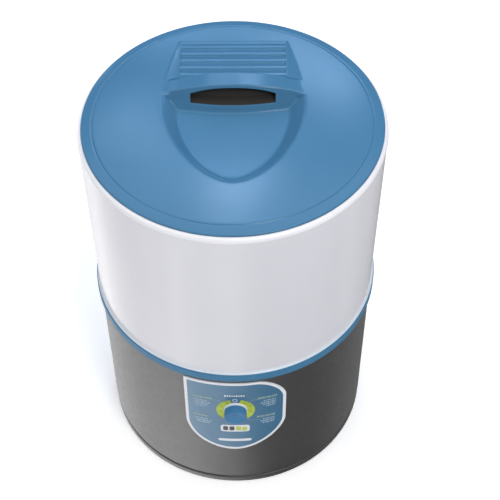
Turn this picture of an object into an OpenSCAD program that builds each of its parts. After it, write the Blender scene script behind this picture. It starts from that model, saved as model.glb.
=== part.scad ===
// Round semi-automatic washing machine: a one-piece white tub on a grey skirt that holds
// the motor, the belt drive and the timer, with a blue trim ring and a blue lift-off lid.
// Millimetres, +Z up, the front with the control panel faces -Y, origin on the floor at the axis.

/* [Body] */
// Outer radius of the lower skirt
body_r = 278; // [265:1:300]
// Height of the lower skirt
skirt_h = 374; // [350:1:430]
// Wall of the lower skirt
skirt_wall = 3.5; // [2.5:0.5:5]
// Height of the rim of the base pan
pan_rim_h = 16; // [13:1:24]
// Height of the shadow gap between the base pan rim and the skirt
pan_gap_h = 8; // [5:1:12]
// How far the rubber feet stand below the pan
foot_drop = 3; // [2:1:8]
// Radius of a rubber foot
foot_r = 16; // [13:1:20]

/* [Trim ring] */
// How far the blue ring stands proud of the skirt
ring_proud = 6; // [4:0.5:8]
// Height of the blue ring
ring_h = 21; // [16:1:28]
// Thickness of the web that the tub stands on
web_t = 4; // [3:0.5:6]

/* [Tub] */
// Height of the tub wall from the web to the rolled rim
tub_h = 402; // [360:1:460]
// Wall of the tub
tub_wall = 4; // [3:0.5:5]
// How much wider the tub is at its top than at its foot
tub_flare = 2.6; // [0:0.2:6]
// Radius of the rolled shoulder of the tub rim
rim_round = 9; // [7:0.5:11]
// Width of the landing that the lid rests on, inside the tub wall
landing_w = 18; // [15:0.5:22]
// Height of the tub floor above the web
floor_rise = 35; // [32:1:60]
// Radius of the tub's bottom corner
tub_corner_r = 25; // [15:1:35]

/* [Lid] */
// How far the lid edge lies inside the tub rim
lid_inset = 6.7; // [5:0.1:9]
// Thickness of the lid at its edge
lid_edge_t = 4.5; // [4:0.5:7]
// Width of the flat band round the lid
lid_band_w = 20; // [14:1:26]
// Rise of the flat band
lid_band_rise = 3; // [1:0.5:5]
// Rise of the crowned lid from its band to its centre
lid_crown = 5.4; // [3:0.2:8]
// Wall of the lid
lid_wall = 3; // [2.5:0.5:3.5]
// Depth of the hand recess below the crown
recess_depth = 28; // [22:1:32]
// Half width of the hand recess at the lid's surface
recess_half_w = 129; // [115:1:135]
// Length of the hand recess in front of its straight sides
recess_len = 175; // [150:1:180]
// Height of the arched grip above the crown
grip_rise = 18.5; // [15:0.5:24]
// Depth of the grip bar from front to back
grip_depth = 30; // [24:1:36]
// Width of the finger slot in the grip
slot_w = 157; // [130:1:170]
// Height of the finger slot at its middle
slot_h = 27; // [22:1:28]
// Number of ribs behind the grip
rib_count = 5; // [4:1:6]
// Height of a rib
rib_h = 3.5; // [2:0.5:4.5]

/* [Control panel] */
// Width of the panel along the curve of the skirt
panel_w = 206; // [190:1:226]
// Height of the panel
panel_h = 243; // [225:1:260]
// Thickness of the panel
panel_t = 1.6; // [1.2:0.2:2.4]
// Width of the pale border of the panel
border_w = 6.5; // [4:0.5:9]
// Depth of the timer axis below the top edge of the panel
knob_drop = 91.5; // [85:0.5:110]
// Radius of the timer knob
knob_r = 22.3; // [20:0.1:26]
// Length of the timer knob
knob_h = 15.5; // [10:0.5:18]
// Height of the pale collar under the knob
collar_h = 4.6; // [3:0.2:6]
// Radius of the coloured scale round the knob
scale_r = 38.5; // [35:0.5:44]

/* [Drive] */
// Radius of the drive shaft
shaft_r = 8; // [7:0.5:9]
// Radius of the agitator plate
agitator_r = 165; // [150:1:180]
// Height of the agitator's column above its plate
column_h = 82; // [70:1:110]
// Number of vanes on the agitator
vane_count = 4; // [3:1:6]
// Outer radius of the driven pulley
driven_r = 100; // [90:1:104]
// Outer radius of the motor pulley
driver_r = 25; // [24:1:28]
// Distance from the tub axis to the motor axis
motor_x = 165; // [156:1:170]
// Radius of the motor
motor_r = 58; // [52:1:62]

/* [Water outlet and supply] */
// Outer radius of the drain spigot
spigot_r = 13; // [11:0.5:14]
// Bore radius of the cord gland
gland_bore_r = 4.2; // [3.5:0.1:5]

/* [Hidden] */
$fn = 96;
fine_fn = 720;

// Clearances
seat_gap = 0.3;
run_gap = 0.05;
eps = 0.01;

// Heights of the body
pan_z = foot_drop;
skirt_z = pan_z + pan_rim_h + pan_gap_h;
web_z = skirt_z + skirt_h;
tub_z = web_z + web_t;
rim_z = tub_z + tub_h;
shoulder_z = rim_z + 1.3;
mouth_z = shoulder_z + rim_round;
floor_z = tub_z + floor_rise;
floor_under_z = floor_z - tub_wall;

// Radii of the body
tub_top_r = body_r + tub_flare;
rim_r = tub_top_r + 0.6;
mouth_r = rim_r - landing_w;
skirt_in_r = body_r - skirt_wall;
front_cut_y = 78 - body_r;
back_cut_y = body_r + 42;
wall_cut = 100;
ring_r = body_r + ring_proud;
ring_in_r = body_r + seat_gap;
flange_in_r = body_r - 20;
flange_t = 3.5;
ring_lip = 2;
ring_top = web_z - ring_lip + ring_h;
ring_round = 4.5;
pan_rim_r = body_r - 0.5;
pan_neck_r = body_r - 5.5;
pan_neck_in_r = flange_in_r + 3;
pan_floor_z = pan_z + 5;
pan_floor_t = 4;
pan_floor_top = pan_floor_z + pan_floor_t;
foot_reach = (body_r - 45) / sqrt(2);
stem_r = 5;
screw_circle_r = body_r - 13;
screw_count = 8;
screw_start = 22.5;

// Screws: shank, hole and head
m5_r = 2.4;
m5_hole_r = 2.6;
m5_head_r = 4.4;
m5_head_h = 3;
m3_r = 1.4;
m3_hole_r = 1.6;
m3_head_r = 2.8;
m3_head_h = 1.8;

// Shaft, bearing housing and the boss in the tub floor
boss_r = 50;
boss_top = floor_z + 6;
neck_r = shaft_r + 9;
housing_r = shaft_r + 22;
housing_flange_t = 8;
housing_top = floor_under_z - housing_flange_t;
housing_len = 134;
housing_bottom = housing_top - housing_len;
neck_top = boss_top - 7;
bush_wall = 5;
bush_r = shaft_r + bush_wall;
bush_len = 24;
housing_bolt_circle = 39;
bolt_grip = boss_top - floor_under_z - 3;

// Belt plane and pulleys
pulley_w = 20;
belt_z = housing_bottom - 82;
groove_top_w = 6.6;
groove_foot_w = 3.7;
groove_depth = 11;
belt_h = 8.5;
belt_sink = 1.5;
belt_side_gap = 0.33;
groove_slope = (groove_top_w - groove_foot_w) / groove_depth;
belt_out_w = groove_top_w - belt_sink * groove_slope - belt_side_gap;
belt_in_w = belt_out_w - belt_h * groove_slope;
belt_angle = acos((driven_r - driver_r) / motor_x);
belt_run = motor_x * sin(belt_angle);
pulley_hub_top = belt_z + 23;
pulley_hub_bottom = belt_z - 12;
nut_h = 10;
shaft_bottom = pulley_hub_bottom - nut_h - 6;

// Agitator on the shaft's hexagonal end
agitator_z = boss_top + 12;
agitator_foot_z = floor_z + 5;
hub_r = 18;
hub_top = agitator_z + 56;
shaft_shoulder_z = agitator_z - 1;
bolt_len = 22;
column_top = agitator_z + column_h;
column_r = 26;

// Drive frame and motor
frame_t = 4;
frame_z = housing_bottom + 54;
frame_half = 75;
frame_left = -120;
frame_right = motor_x + motor_r + 8;
post_r = 9;
post_top = floor_under_z - 12;
post_y = 60;
posts = [[-104, post_y], [-104, -post_y], [104, post_y], [104, -post_y]];
grommet_h = 8;
motor_top = frame_z - grommet_h;
cover_h = 18;
stator_h = 50;
stator_top = motor_top - cover_h;
stator_bottom = stator_top - stator_h;
motor_bottom = stator_bottom - cover_h;
motor_shaft_r = 6;
rotor_r = motor_r * 0.6;
ear_x = motor_r * 0.66;
fan_r = motor_r - 8;
fan_z = motor_bottom - 6;
capacitor_x = -78;
capacitor_r = 17;
capacitor_h = 58;

// Control panel and timer: the panel is bent round the skirt
panel_top = web_z - ring_lip - 12.5;
knob_z = panel_top - knob_drop;
panel_seat_r = body_r + 0.1;
panel_face_r = panel_seat_r + panel_t;
panel_half = panel_w / 2;
border_rise = 0.5;
recess_power = 1.6;
right_power = 1.65;
left_power = 2;
scale_drop = 4;
corner_w = 60;
corner_h = 65;
foot_curve_h = 98;
pegs = [[-70, 45], [70, 45], [-58, 180], [58, 180]];
peg_r = 3;
timer_shaft_r = 3;
timer_hole_r = 7;
timer_screw_x = 15;
bracket_y = -(skirt_in_r - 6.5);
bracket_t = 2;
bracket_half = 36;
timer_half = 28;
timer_depth = 44;
timer_wall = 2.5;
lug_x = 32;
case_y = bracket_y + bracket_t;
bezel_r = knob_r + 1.2;
bezel_face = -(panel_face_r + collar_h);
knob_back = bezel_face - seat_gap;
knob_face = knob_back - knob_h;

// Drain: the sump in the tub floor, and the hose to the spigot at the back
sump_x = -22;
sump_y = body_r - 93;
sump_r = 22;
sump_z = floor_under_z - 12;
strainer_t = 3;
outlet_bore_r = spigot_r - 3;
outlet_z = sump_z - 30;
hose_in_r = spigot_r + seat_gap;
hose_r = hose_in_r + 2.7;
hose_bend = 45;
spigot_z = 85;
plate_y = body_r - 16;
plate_t = 4;
plate_half_w = 62;
plate_low = 43;
plate_high = 187;
ledge_w = 12;
ledge_t = 4;
gland_x = 24;
gland_z = 140;
gland_body_r = gland_bore_r + 3.8;
block_x = 24;
block_z = 96;
block_half = 19;
block_h = 14;
block_depth = 16;

// Lint filter on the tub's back wall
filter_half_w = 44;
filter_rise = 190;
filter_low = floor_z + filter_rise;
filter_h = 100;
filter_depth = 18;
filter_wall = 3;
stud_x = filter_half_w - 9;
stud_z = filter_low + 70;
stud_r = 4;
stud_y = 12;

// Lid relief: y grows to the back
lid_z = mouth_z + seat_gap;
lid_r = rim_r - lid_inset;
dome_r = lid_r - lid_band_w;
band_top = lid_z + lid_edge_t + lid_band_rise;
dome_edge_z = band_top + 1.2;
crown_z = dome_edge_z + lid_crown;
recess_z = crown_z - recess_depth;
grip_z = crown_z + grip_rise;
wall_lean = 0.74;
recess_back_y = 37;
recess_side_y = 18;
recess_inset = 25;
grip_y = recess_back_y + wall_lean * (grip_z - recess_z);
grip_back_y = grip_y + grip_depth;
arch_r = (pow(recess_half_w, 2) + pow(grip_rise, 2)) / (2 * grip_rise);
slot_z = recess_z + 27;
ramp_back_y = 215;
ramp_front_z = crown_z + 9;
ramp_back_z = crown_z - 2;
ramp_half_w = 104;
ramp_flank = 24;
rib_half_w = 98;
rib_w = 10;
locator_r = mouth_r - 1;
locator_h = 12;

// Leads: the routes run along the skirt and the pan
lead_r = 3.5;
lead_sides = 8;
lead_lane_r = pan_neck_in_r - 11;
lead_floor_z = pan_floor_top + lead_r + seat_gap;
timer_back_y = case_y + timer_depth;
tab_z = knob_z - 18;

// Points of an arc from angle a to angle b in n steps
function arc(cx, cy, r, a, b, n) =
    [for (i = [0:n]) [cx + r * cos(a + (b - a) * i / n), cy + r * sin(a + (b - a) * i / n)]];

// Points of a soft corner with half axes w and h, from its top to its side: power 2 is round
function soft(w, h, power, n) =
    [for (i = [0:n]) let (t = sin(90 * i / n))
        [w * t, h * pow(max(0, 1 - pow(t, power)), 1 / power)]];

module ring(r_in, r_out, z0, z1) {
    translate([0, 0, z0]) difference() {
        cylinder(r = r_out, h = z1 - z0);
        translate([0, 0, -1]) cylinder(r = r_in, h = z1 - z0 + 2);
    }
}

// A rod along -Y that starts at y0
module rod_y(x, z, r, y0, len) {
    translate([x, y0, z]) rotate([90, 0, 0]) cylinder(r = r, h = len);
}

// A screw that points up, with its head below its origin
module screw_up(shank_r, head_r, head_h, len) {
    translate([0, 0, -head_h]) cylinder(r = head_r, h = head_h);
    translate([0, 0, -eps]) cylinder(r = shank_r, h = len + eps);
}

// A screw that points to +Y, with its head in front of y0
module screw_back(x, z, y0, shank_r, head_r, head_h, len) {
    rod_y(x, z, head_r, y0, head_h);
    rod_y(x, z, shank_r, y0 + len, len + eps);
}

module around(count, r, start = 0) {
    for (i = [0:count - 1]) rotate([0, 0, start + i * 360 / count]) translate([r, 0, 0]) children();
}

// Lid

// Outer line of the crowned lid, from the edge to the middle
dome_line = [for (i = [0:12]) let (r = dome_r * (1 - i / 12))
    [r, crown_z - lid_crown * pow(r / dome_r, 2)]];

module lid_shell() {
    rotate_extrude($fn = 180) polygon(concat(
        [[lid_r, lid_z], [lid_r, lid_z + lid_edge_t - 1.5], [lid_r - 1.5, lid_z + lid_edge_t],
            [dome_r + 1.2, band_top]],
        dome_line,
        [for (i = [12:-1:0]) [max(dome_line[i][0] - 2, 0), dome_line[i][1] - lid_wall]],
        [[locator_r - 3, lid_z + 1.5], [locator_r - 3, lid_z - locator_h],
            [locator_r, lid_z - locator_h], [locator_r, lid_z]]));
}

// Outline of the hand recess: straight sides, then a soft tip to the front
function recess_line(grow, back) =
    let (tip = soft(recess_half_w + grow, recess_len + grow, recess_power, 14))
    concat([[recess_half_w + grow, back]],
        [for (i = [14:-1:0]) [tip[i][0], recess_side_y - tip[i][1]]],
        [for (i = [1:14]) [-tip[i][0], recess_side_y - tip[i][1]]],
        [[-recess_half_w - grow, back]]);

module recess_form(grow) {
    floor_back = recess_back_y;
    top_back = floor_back + wall_lean * (crown_z + 1 - recess_z);
    hull() {
        translate([0, 0, crown_z + 1 - (grow > 0 ? lid_wall : 0)]) linear_extrude(0.1)
            polygon(recess_line(grow, top_back + grow));
        translate([0, 0, recess_z - (grow > 0 ? lid_wall : 0)]) linear_extrude(0.1)
            polygon(recess_line(grow - recess_inset, floor_back + grow));
    }
}

// The grip: an arch over the back of the recess, cut off in front by the leaning wall
module grip_form(shrink) {
    lean = shrink * sqrt(1 + wall_lean * wall_lean);
    base = shrink > 0 ? lid_z - locator_h : crown_z - 5;
    foot_y = recess_back_y + wall_lean * (base - recess_z) + lean;
    intersection() {
        translate([0, grip_back_y + 1, grip_z - arch_r]) rotate([90, 0, 0])
            cylinder(r = arch_r - shrink, h = grip_back_y + 1, $fn = 240);
        translate([-(recess_half_w - shrink * 5), 0, 0]) rotate([90, 0, 90])
            linear_extrude(2 * (recess_half_w - shrink * 5)) polygon([
                [foot_y, base], [grip_y + lean, grip_z + 1], [grip_back_y - shrink, grip_z + 1],
                [grip_back_y - shrink, base]]);
    }
}

// The ramp behind the grip, with its flanks
module ramp_form(shrink) {
    base = shrink > 0 ? lid_z - locator_h : crown_z - 8;
    front = grip_back_y - 2 + shrink / 2;
    back = ramp_back_y - shrink;
    top_w = ramp_half_w - shrink;
    foot_front_w = top_w + (shrink > 0 ? 0 : ramp_flank);
    polyhedron(points = [
        [-foot_front_w, front, base], [foot_front_w, front, base],
        [top_w + 2, back, base], [-top_w - 2, back, base],
        [-top_w, front, ramp_front_z - shrink], [top_w, front, ramp_front_z - shrink],
        [top_w, back, ramp_back_z - shrink], [-top_w, back, ramp_back_z - shrink]],
        faces = [[0, 1, 2, 3], [7, 6, 5, 4], [0, 4, 5, 1], [1, 5, 6, 2], [2, 6, 7, 3], [3, 7, 4, 0]]);
}

module ribs() {
    first = grip_back_y + 8;
    step = (ramp_back_y - 8 - first) / rib_count;
    slope = atan((ramp_front_z - ramp_back_z) / (ramp_back_y - grip_back_y));
    for (i = [0:rib_count - 1]) {
        y = first + step * (i + 0.5);
        z = ramp_front_z - tan(slope) * (y - grip_back_y);
        translate([0, y, z]) rotate([-slope, 0, 0]) translate([-rib_half_w, -rib_w / 2, -2])
            cube([2 * rib_half_w, rib_w, 2 + rib_h]);
    }
}

// Outline of the finger slot in width and height
slot_line = [for (i = [-10:10]) [slot_w / 2 * i / 10, slot_h / 2 * (1 - 0.5 * pow(i / 10, 2))]];

module slot_form() {
    translate([0, grip_back_y - 12, slot_z]) rotate([90, 0, 0])
        linear_extrude(grip_back_y - recess_back_y)
            polygon(concat(slot_line, [for (i = [20:-1:0]) [slot_line[i][0], -slot_line[i][1]]]));
}

module lid() {
    color("steelblue") difference() {
        union() {
            lid_shell();
            recess_form(lid_wall + 1);
            grip_form(0);
            ramp_form(0);
            ribs();
        }
        recess_form(0);
        grip_form(lid_wall);
        ramp_form(lid_wall);
        slot_form();
    }
}

// Tub

module wash_tub() {
    in_top_r = tub_top_r - tub_wall;
    in_foot_r = body_r - tub_wall;
    corner_x = in_foot_r - tub_corner_r;
    corner_z = floor_z + tub_corner_r;
    under_a = acos(tub_corner_r / (tub_corner_r + tub_wall));
    color("white") difference() {
        union() {
            rotate_extrude($fn = 180) polygon(concat(
                [[flange_in_r, tub_z], [body_r, tub_z], [tub_top_r, rim_z], [rim_r, rim_z + 0.6]],
                arc(rim_r - rim_round, shoulder_z, rim_round, 0, 90, 8),
                [[mouth_r + 2, mouth_z], [mouth_r, mouth_z - 2], [mouth_r, mouth_z - 9],
                    [mouth_r + 3, mouth_z - 9], [mouth_r + 3, mouth_z - tub_wall],
                    [in_top_r - 4, mouth_z - tub_wall], [in_top_r, mouth_z - tub_wall - 8]],
                arc(corner_x, corner_z, tub_corner_r, 0, -90, 8),
                [[boss_r + 4, floor_z], [boss_r, boss_top], [neck_r + seat_gap, boss_top],
                    [neck_r + seat_gap, floor_under_z]],
                arc(corner_x, corner_z, tub_corner_r + tub_wall, -90, -under_a, 6),
                [[in_foot_r, tub_z + tub_wall], [flange_in_r, tub_z + tub_wall]]));
            around(screw_count, screw_circle_r, screw_start) translate([0, 0, tub_z])
                cylinder(r = 6, h = 18);
            for (p = posts) translate([p[0], p[1], post_top])
                cylinder(r = post_r, h = floor_under_z - post_top + 1);
            for (s = [-1, 1]) rod_y(s * stud_x, stud_z, stud_r, body_r - tub_wall + 1, stud_y);
            translate([sump_x, sump_y, sump_z]) cylinder(r = sump_r + tub_wall, h = floor_z - sump_z);
            translate([sump_x, sump_y, outlet_z]) cylinder(r = spigot_r, h = sump_z - outlet_z + 1);
            for (i = [0:11]) rotate([0, 0, 15 + 30 * i]) translate([72, -1.5, floor_under_z - 9])
                cube([corner_x - 72, 3, 10]);
        }
        translate([sump_x, sump_y, floor_under_z]) cylinder(r = sump_r, h = tub_wall + 1);
        translate([sump_x, sump_y, sump_z + tub_wall]) cylinder(r = sump_r - 3, h = 12);
        translate([sump_x, sump_y, outlet_z - 1]) cylinder(r = outlet_bore_r, h = 60);
        around(screw_count, screw_circle_r, screw_start) translate([0, 0, tub_z - 1])
            cylinder(r = m5_hole_r, h = 16);
        around(6, housing_bolt_circle) translate([0, 0, floor_under_z - 1])
            cylinder(r = m5_hole_r, h = bolt_grip + 1);
        for (p = posts) translate([p[0], p[1], post_top - 1]) cylinder(r = m5_hole_r, h = 12);
    }
}

// The inner face of the tub's upper wall, drawn in by a gap
module tub_bore(gap) {
    z0 = floor_z + tub_corner_r;
    z1 = mouth_z - tub_wall - 8;
    translate([0, 0, z0]) cylinder(r1 = body_r - tub_wall - gap, r2 = tub_top_r - tub_wall - gap, h = z1 - z0,
        $fn = fine_fn);
}

// Skirt, ring and base

module trim_ring() {
    color("steelblue") difference() {
        rotate_extrude($fn = 180) polygon(concat(
            [[flange_in_r, web_z], [ring_in_r, web_z], [ring_in_r, web_z - ring_lip],
                [ring_r - 1, web_z - ring_lip], [ring_r, web_z - ring_lip + 1.5]],
            arc(ring_r - ring_round, ring_top - ring_round, ring_round, 0, 90, 4),
            [[ring_in_r, ring_top], [ring_in_r, tub_z], [flange_in_r, tub_z]]));
        around(screw_count, screw_circle_r, screw_start) translate([0, 0, web_z - 1])
            cylinder(r = m5_hole_r, h = web_t + 2);
    }
}

module lower_skirt() {
    well_half = plate_half_w + seat_gap;
    well_low = plate_low - seat_gap;
    well_h = plate_high - plate_low + 2 * seat_gap;
    color("dimgray") difference() {
        union() {
            rotate_extrude($fn = 180) polygon([
                [flange_in_r, skirt_z], [body_r, skirt_z], [body_r, web_z], [flange_in_r, web_z],
                [flange_in_r, web_z - flange_t], [skirt_in_r, web_z - flange_t],
                [skirt_in_r, skirt_z + flange_t], [flange_in_r, skirt_z + flange_t]]);
            intersection() {
                translate([-well_half - 3, plate_y - ledge_t, well_low - 3])
                    cube([2 * well_half + 6, 30, well_h + 6]);
                cylinder(r = body_r - 0.5, h = web_z, $fn = 180);
            }
        }
        translate([-well_half, plate_y, well_low]) cube([2 * well_half, 40, well_h]);
        translate([-plate_half_w + ledge_w, plate_y - 20, plate_low + ledge_w])
            cube([2 * (plate_half_w - ledge_w), 40, plate_high - plate_low - 2 * ledge_w]);
        service_places() rod_y(0, 0, m3_hole_r, 1, ledge_t + 2);
        for (s = [-1, 1]) rod_y(s * timer_screw_x, knob_z, m3_hole_r, front_cut_y, wall_cut);
        rod_y(0, knob_z, timer_hole_r, front_cut_y, wall_cut);
        for (p = pegs) rod_y(p[0], panel_top - p[1], peg_r + seat_gap, front_cut_y, wall_cut);
        around(screw_count, screw_circle_r, screw_start) {
            translate([0, 0, skirt_z - 1]) cylinder(r = m5_hole_r, h = flange_t + 2);
            translate([0, 0, web_z - flange_t - 1]) cylinder(r = m5_hole_r, h = flange_t + 2);
        }
        for (s = [-1, 1], i = [0:6]) rotate([0, 0, 90 + s * (28 + 4 * i)])
            translate([skirt_in_r - 5, -2, knob_z - 20]) cube([skirt_wall + 10, 4, 60]);
    }
}

// The four screws of the service plate, at the outer face of its ledge
module service_places() {
    for (x = [-1, 1] * (plate_half_w - ledge_w / 2), z = [plate_low + ledge_w / 2, plate_high - ledge_w / 2])
        translate([x, plate_y, z]) children();
}

module base_pan() {
    color("dimgray") difference() {
        rotate_extrude($fn = 180) polygon(concat(
            [[0, pan_floor_z], [pan_rim_r - 5, pan_floor_z], [pan_rim_r - 5, pan_z]],
            arc(pan_rim_r - 2, pan_z + 2, 2, -90, 0, 4),
            arc(pan_rim_r - 3, pan_z + pan_rim_h - 3, 3, 0, 90, 5),
            [[pan_neck_r, pan_z + pan_rim_h], [pan_neck_r, skirt_z], [pan_neck_in_r, skirt_z],
                [pan_neck_in_r, pan_floor_top], [0, pan_floor_top]]));
        around(screw_count, screw_circle_r, screw_start) translate([0, 0, pan_floor_z - 1])
            cylinder(r = m5_hole_r, h = skirt_z);
        around(4, foot_reach * sqrt(2), 45) translate([0, 0, pan_floor_z - 1])
            cylinder(r = stem_r + seat_gap, h = pan_floor_t + 2);
        around(24, 150) translate([-30, -3, pan_floor_z - 1]) cube([60, 6, pan_floor_t + 2]);
    }
}

module rubber_foot(sx, sy) {
    color("black") translate([sx * foot_reach, sy * foot_reach, 0]) {
        cylinder(r1 = foot_r, r2 = foot_r - 2, h = pan_floor_z);
        translate([0, 0, pan_floor_z - eps]) cylinder(r = stem_r, h = pan_floor_t + 2 * eps);
        translate([0, 0, pan_floor_top]) cylinder(r1 = stem_r + 3, r2 = stem_r, h = 4);
    }
}

module foot_front_left() {
    rubber_foot(-1, -1);
}

module foot_front_right() {
    rubber_foot(1, -1);
}

module foot_rear_left() {
    rubber_foot(-1, 1);
}

module foot_rear_right() {
    rubber_foot(1, 1);
}

module body_screws() {
    color("silver") around(screw_count, screw_circle_r, screw_start) translate([0, 0, web_z - flange_t])
        screw_up(m5_r, m5_head_r, m5_head_h, flange_t + web_t + 13);
}

module base_screws() {
    color("silver") around(screw_count, screw_circle_r, screw_start) translate([0, 0, pan_floor_z])
        screw_up(m5_r, m5_head_r, m5_head_h, skirt_z + flange_t + 4 - pan_floor_z);
}

// Control panel

// Width along the curve turned into x
function bent(u) = panel_face_r * sin(u / panel_face_r * 180 / PI);

// Outline of the panel: a square corner at the top left, a soft one at the top right,
// and a soft foot. The border's inner line is the same shape drawn in.
function panel_line(inset) =
    let (half = panel_half - inset,
        corner = soft(corner_w - inset, corner_h - inset, right_power, 12),
        right = soft(half, foot_curve_h - inset, right_power, 16),
        left = soft(half, foot_curve_h - inset, left_power, 16),
        tip_z = panel_top - panel_h + foot_curve_h,
        corner_x = panel_half - corner_w,
        corner_z = panel_top - corner_h)
    concat([[bent(-half), panel_top - inset]],
        [for (p = corner) [bent(corner_x + p[0]), corner_z + p[1]]],
        [for (i = [16:-1:0]) [bent(right[i][0]), tip_z - right[i][1]]],
        [for (i = [1:16]) [bent(-left[i][0]), tip_z - left[i][1]]]);

// A piece of the panel's curved sheet, cut to an outline
module bent_sheet(r_in, r_out) {
    intersection() {
        ring(r_in, r_out, knob_z - 180, panel_top + 10, $fn = fine_fn);
        translate([0, front_cut_y, 0]) rotate([90, 0, 0]) linear_extrude(wall_cut) children();
    }
}

module control_panel() {
    color([0.3, 0.45, 0.56]) difference() {
        union() {
            bent_sheet(panel_seat_r, panel_face_r) polygon(panel_line(border_w + 0.2));
            for (p = pegs) intersection() {
                rod_y(p[0], panel_top - p[1], peg_r, -skirt_in_r + 14, 40);
                cylinder(r = panel_seat_r + panel_t / 2, h = web_z);
            }
        }
        rod_y(0, knob_z, timer_hole_r, front_cut_y, wall_cut);
        for (s = [-1, 1]) rod_y(s * timer_screw_x, knob_z, m3_hole_r, front_cut_y, wall_cut);
    }
}

module panel_border() {
    color("white") bent_sheet(panel_seat_r, panel_face_r + border_rise) difference() {
        polygon(panel_line(0));
        polygon(panel_line(border_w));
    }
}

// Two crescents that start beside the knob's rest mark and end below the knob's sides
module dial_scale() {
    color("yellowgreen") bent_sheet(panel_face_r, panel_face_r + 0.4) translate([0, knob_z]) difference() {
        translate([0, -scale_drop]) circle(r = scale_r);
        circle(r = bezel_r + 0.2);
        polygon([[0, 0], [-20, 60], [20, 60]]);
        polygon([[0, -21], [45, -40], [45, -90], [-45, -90], [-45, -40]]);
    }
}

module knob_bezel() {
    color("white") difference() {
        rod_y(0, knob_z, bezel_r, bezel_face + collar_h + 3, collar_h + 3);
        cylinder(r = panel_face_r, h = web_z, $fn = fine_fn);
        rod_y(0, knob_z, timer_shaft_r + 1, front_cut_y, wall_cut);
        for (s = [-1, 1]) rod_y(s * timer_screw_x, knob_z, m3_hole_r, front_cut_y, wall_cut);
    }
}

module timer_knob() {
    color("steelblue") difference() {
        union() {
            difference() {
                union() {
                    rod_y(0, knob_z, knob_r, knob_back, knob_h - 2);
                    translate([0, knob_back - knob_h + 2, knob_z]) rotate([90, 0, 0])
                        cylinder(r1 = knob_r, r2 = knob_r - 1.5, h = 2);
                }
                rod_y(0, knob_z, knob_r - 2, knob_back + 1, knob_h - 1.5);
            }
            rod_y(0, knob_z, timer_shaft_r + 3, knob_back, knob_h - 2);
            translate([-1.5, knob_face - 0.8, knob_z + 4]) cube([3, 1.2, knob_r - 6]);
        }
        rod_y(0, knob_z, timer_shaft_r + run_gap, knob_back + 1, knob_h - 3);
    }
}

module timer_shaft() {
    front = knob_back - knob_h + 4;
    color("silver") rod_y(0, knob_z, timer_shaft_r, case_y + 30, case_y + 30 - front);
}

module timer_cam() {
    color("ivory") translate([0, case_y + 26, knob_z]) rotate([90, 0, 0]) difference() {
        union() {
            cylinder(r = 14, h = 18);
            translate([0, 0, 4]) cylinder(r = 20, h = 3);
            translate([0, 0, 11]) cylinder(r = 20, h = 3);
        }
        translate([0, 0, -1]) cylinder(r = timer_shaft_r, h = 20);
        translate([16, -3, 3]) cube([10, 6, 5]);
        rotate([0, 0, 130]) translate([16, -3, 10]) cube([10, 6, 5]);
    }
}

module timer_case() {
    color("ivory") difference() {
        union() {
            translate([-timer_half, case_y, knob_z - timer_half])
                cube([2 * timer_half, timer_depth, 2 * timer_half]);
            translate([-lug_x - 3, case_y, knob_z - 6]) cube([2 * lug_x + 6, 3, 12]);
            for (i = [0:3]) translate([-19 + 12 * i, timer_back_y - 1, tab_z]) cube([1, 8, 6]);
        }
        translate([-timer_half + timer_wall, case_y + timer_wall, knob_z - timer_half + timer_wall])
            cube([2 * (timer_half - timer_wall), timer_depth - 2 * timer_wall,
                2 * (timer_half - timer_wall)]);
        rod_y(0, knob_z, timer_shaft_r + run_gap, case_y + 10, 20);
        for (s = [-1, 1]) rod_y(s * lug_x, knob_z, m3_hole_r, case_y + 5, 10);
        for (s = [-1, 1]) rod_y(s * timer_screw_x, knob_z, m3_hole_r, case_y + 10, 20);
    }
}

// A flat plate behind the skirt, on two spacers that the screws go through
module timer_bracket() {
    color("silver") difference() {
        union() {
            translate([-bracket_half, bracket_y, knob_z - 16]) cube([2 * bracket_half, bracket_t, 32]);
            for (s = [-1, 1]) intersection() {
                rod_y(s * timer_screw_x, knob_z, 5, bracket_y + eps, 20);
                cylinder(r = skirt_in_r - 0.1, h = web_z, $fn = fine_fn);
            }
        }
        for (s = [-1, 1]) rod_y(s * timer_screw_x, knob_z, m3_hole_r, front_cut_y, wall_cut);
        for (s = [-1, 1]) rod_y(s * lug_x, knob_z, m3_hole_r, front_cut_y, wall_cut);
        rod_y(0, knob_z, timer_hole_r, front_cut_y, wall_cut);
    }
}

module timer_screws() {
    color("silver") {
        for (s = [-1, 1]) screw_back(s * timer_screw_x, knob_z, bezel_face, m3_r, m3_head_r, m3_head_h,
            case_y + 5 - bezel_face);
        for (s = [-1, 1]) translate([s * lug_x, case_y + 3, knob_z]) rotate([90, 0, 0])
            screw_up(m3_r, m3_head_r, m3_head_h, 3 + bracket_t + 3);
    }
}

// Agitator and its shaft

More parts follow.
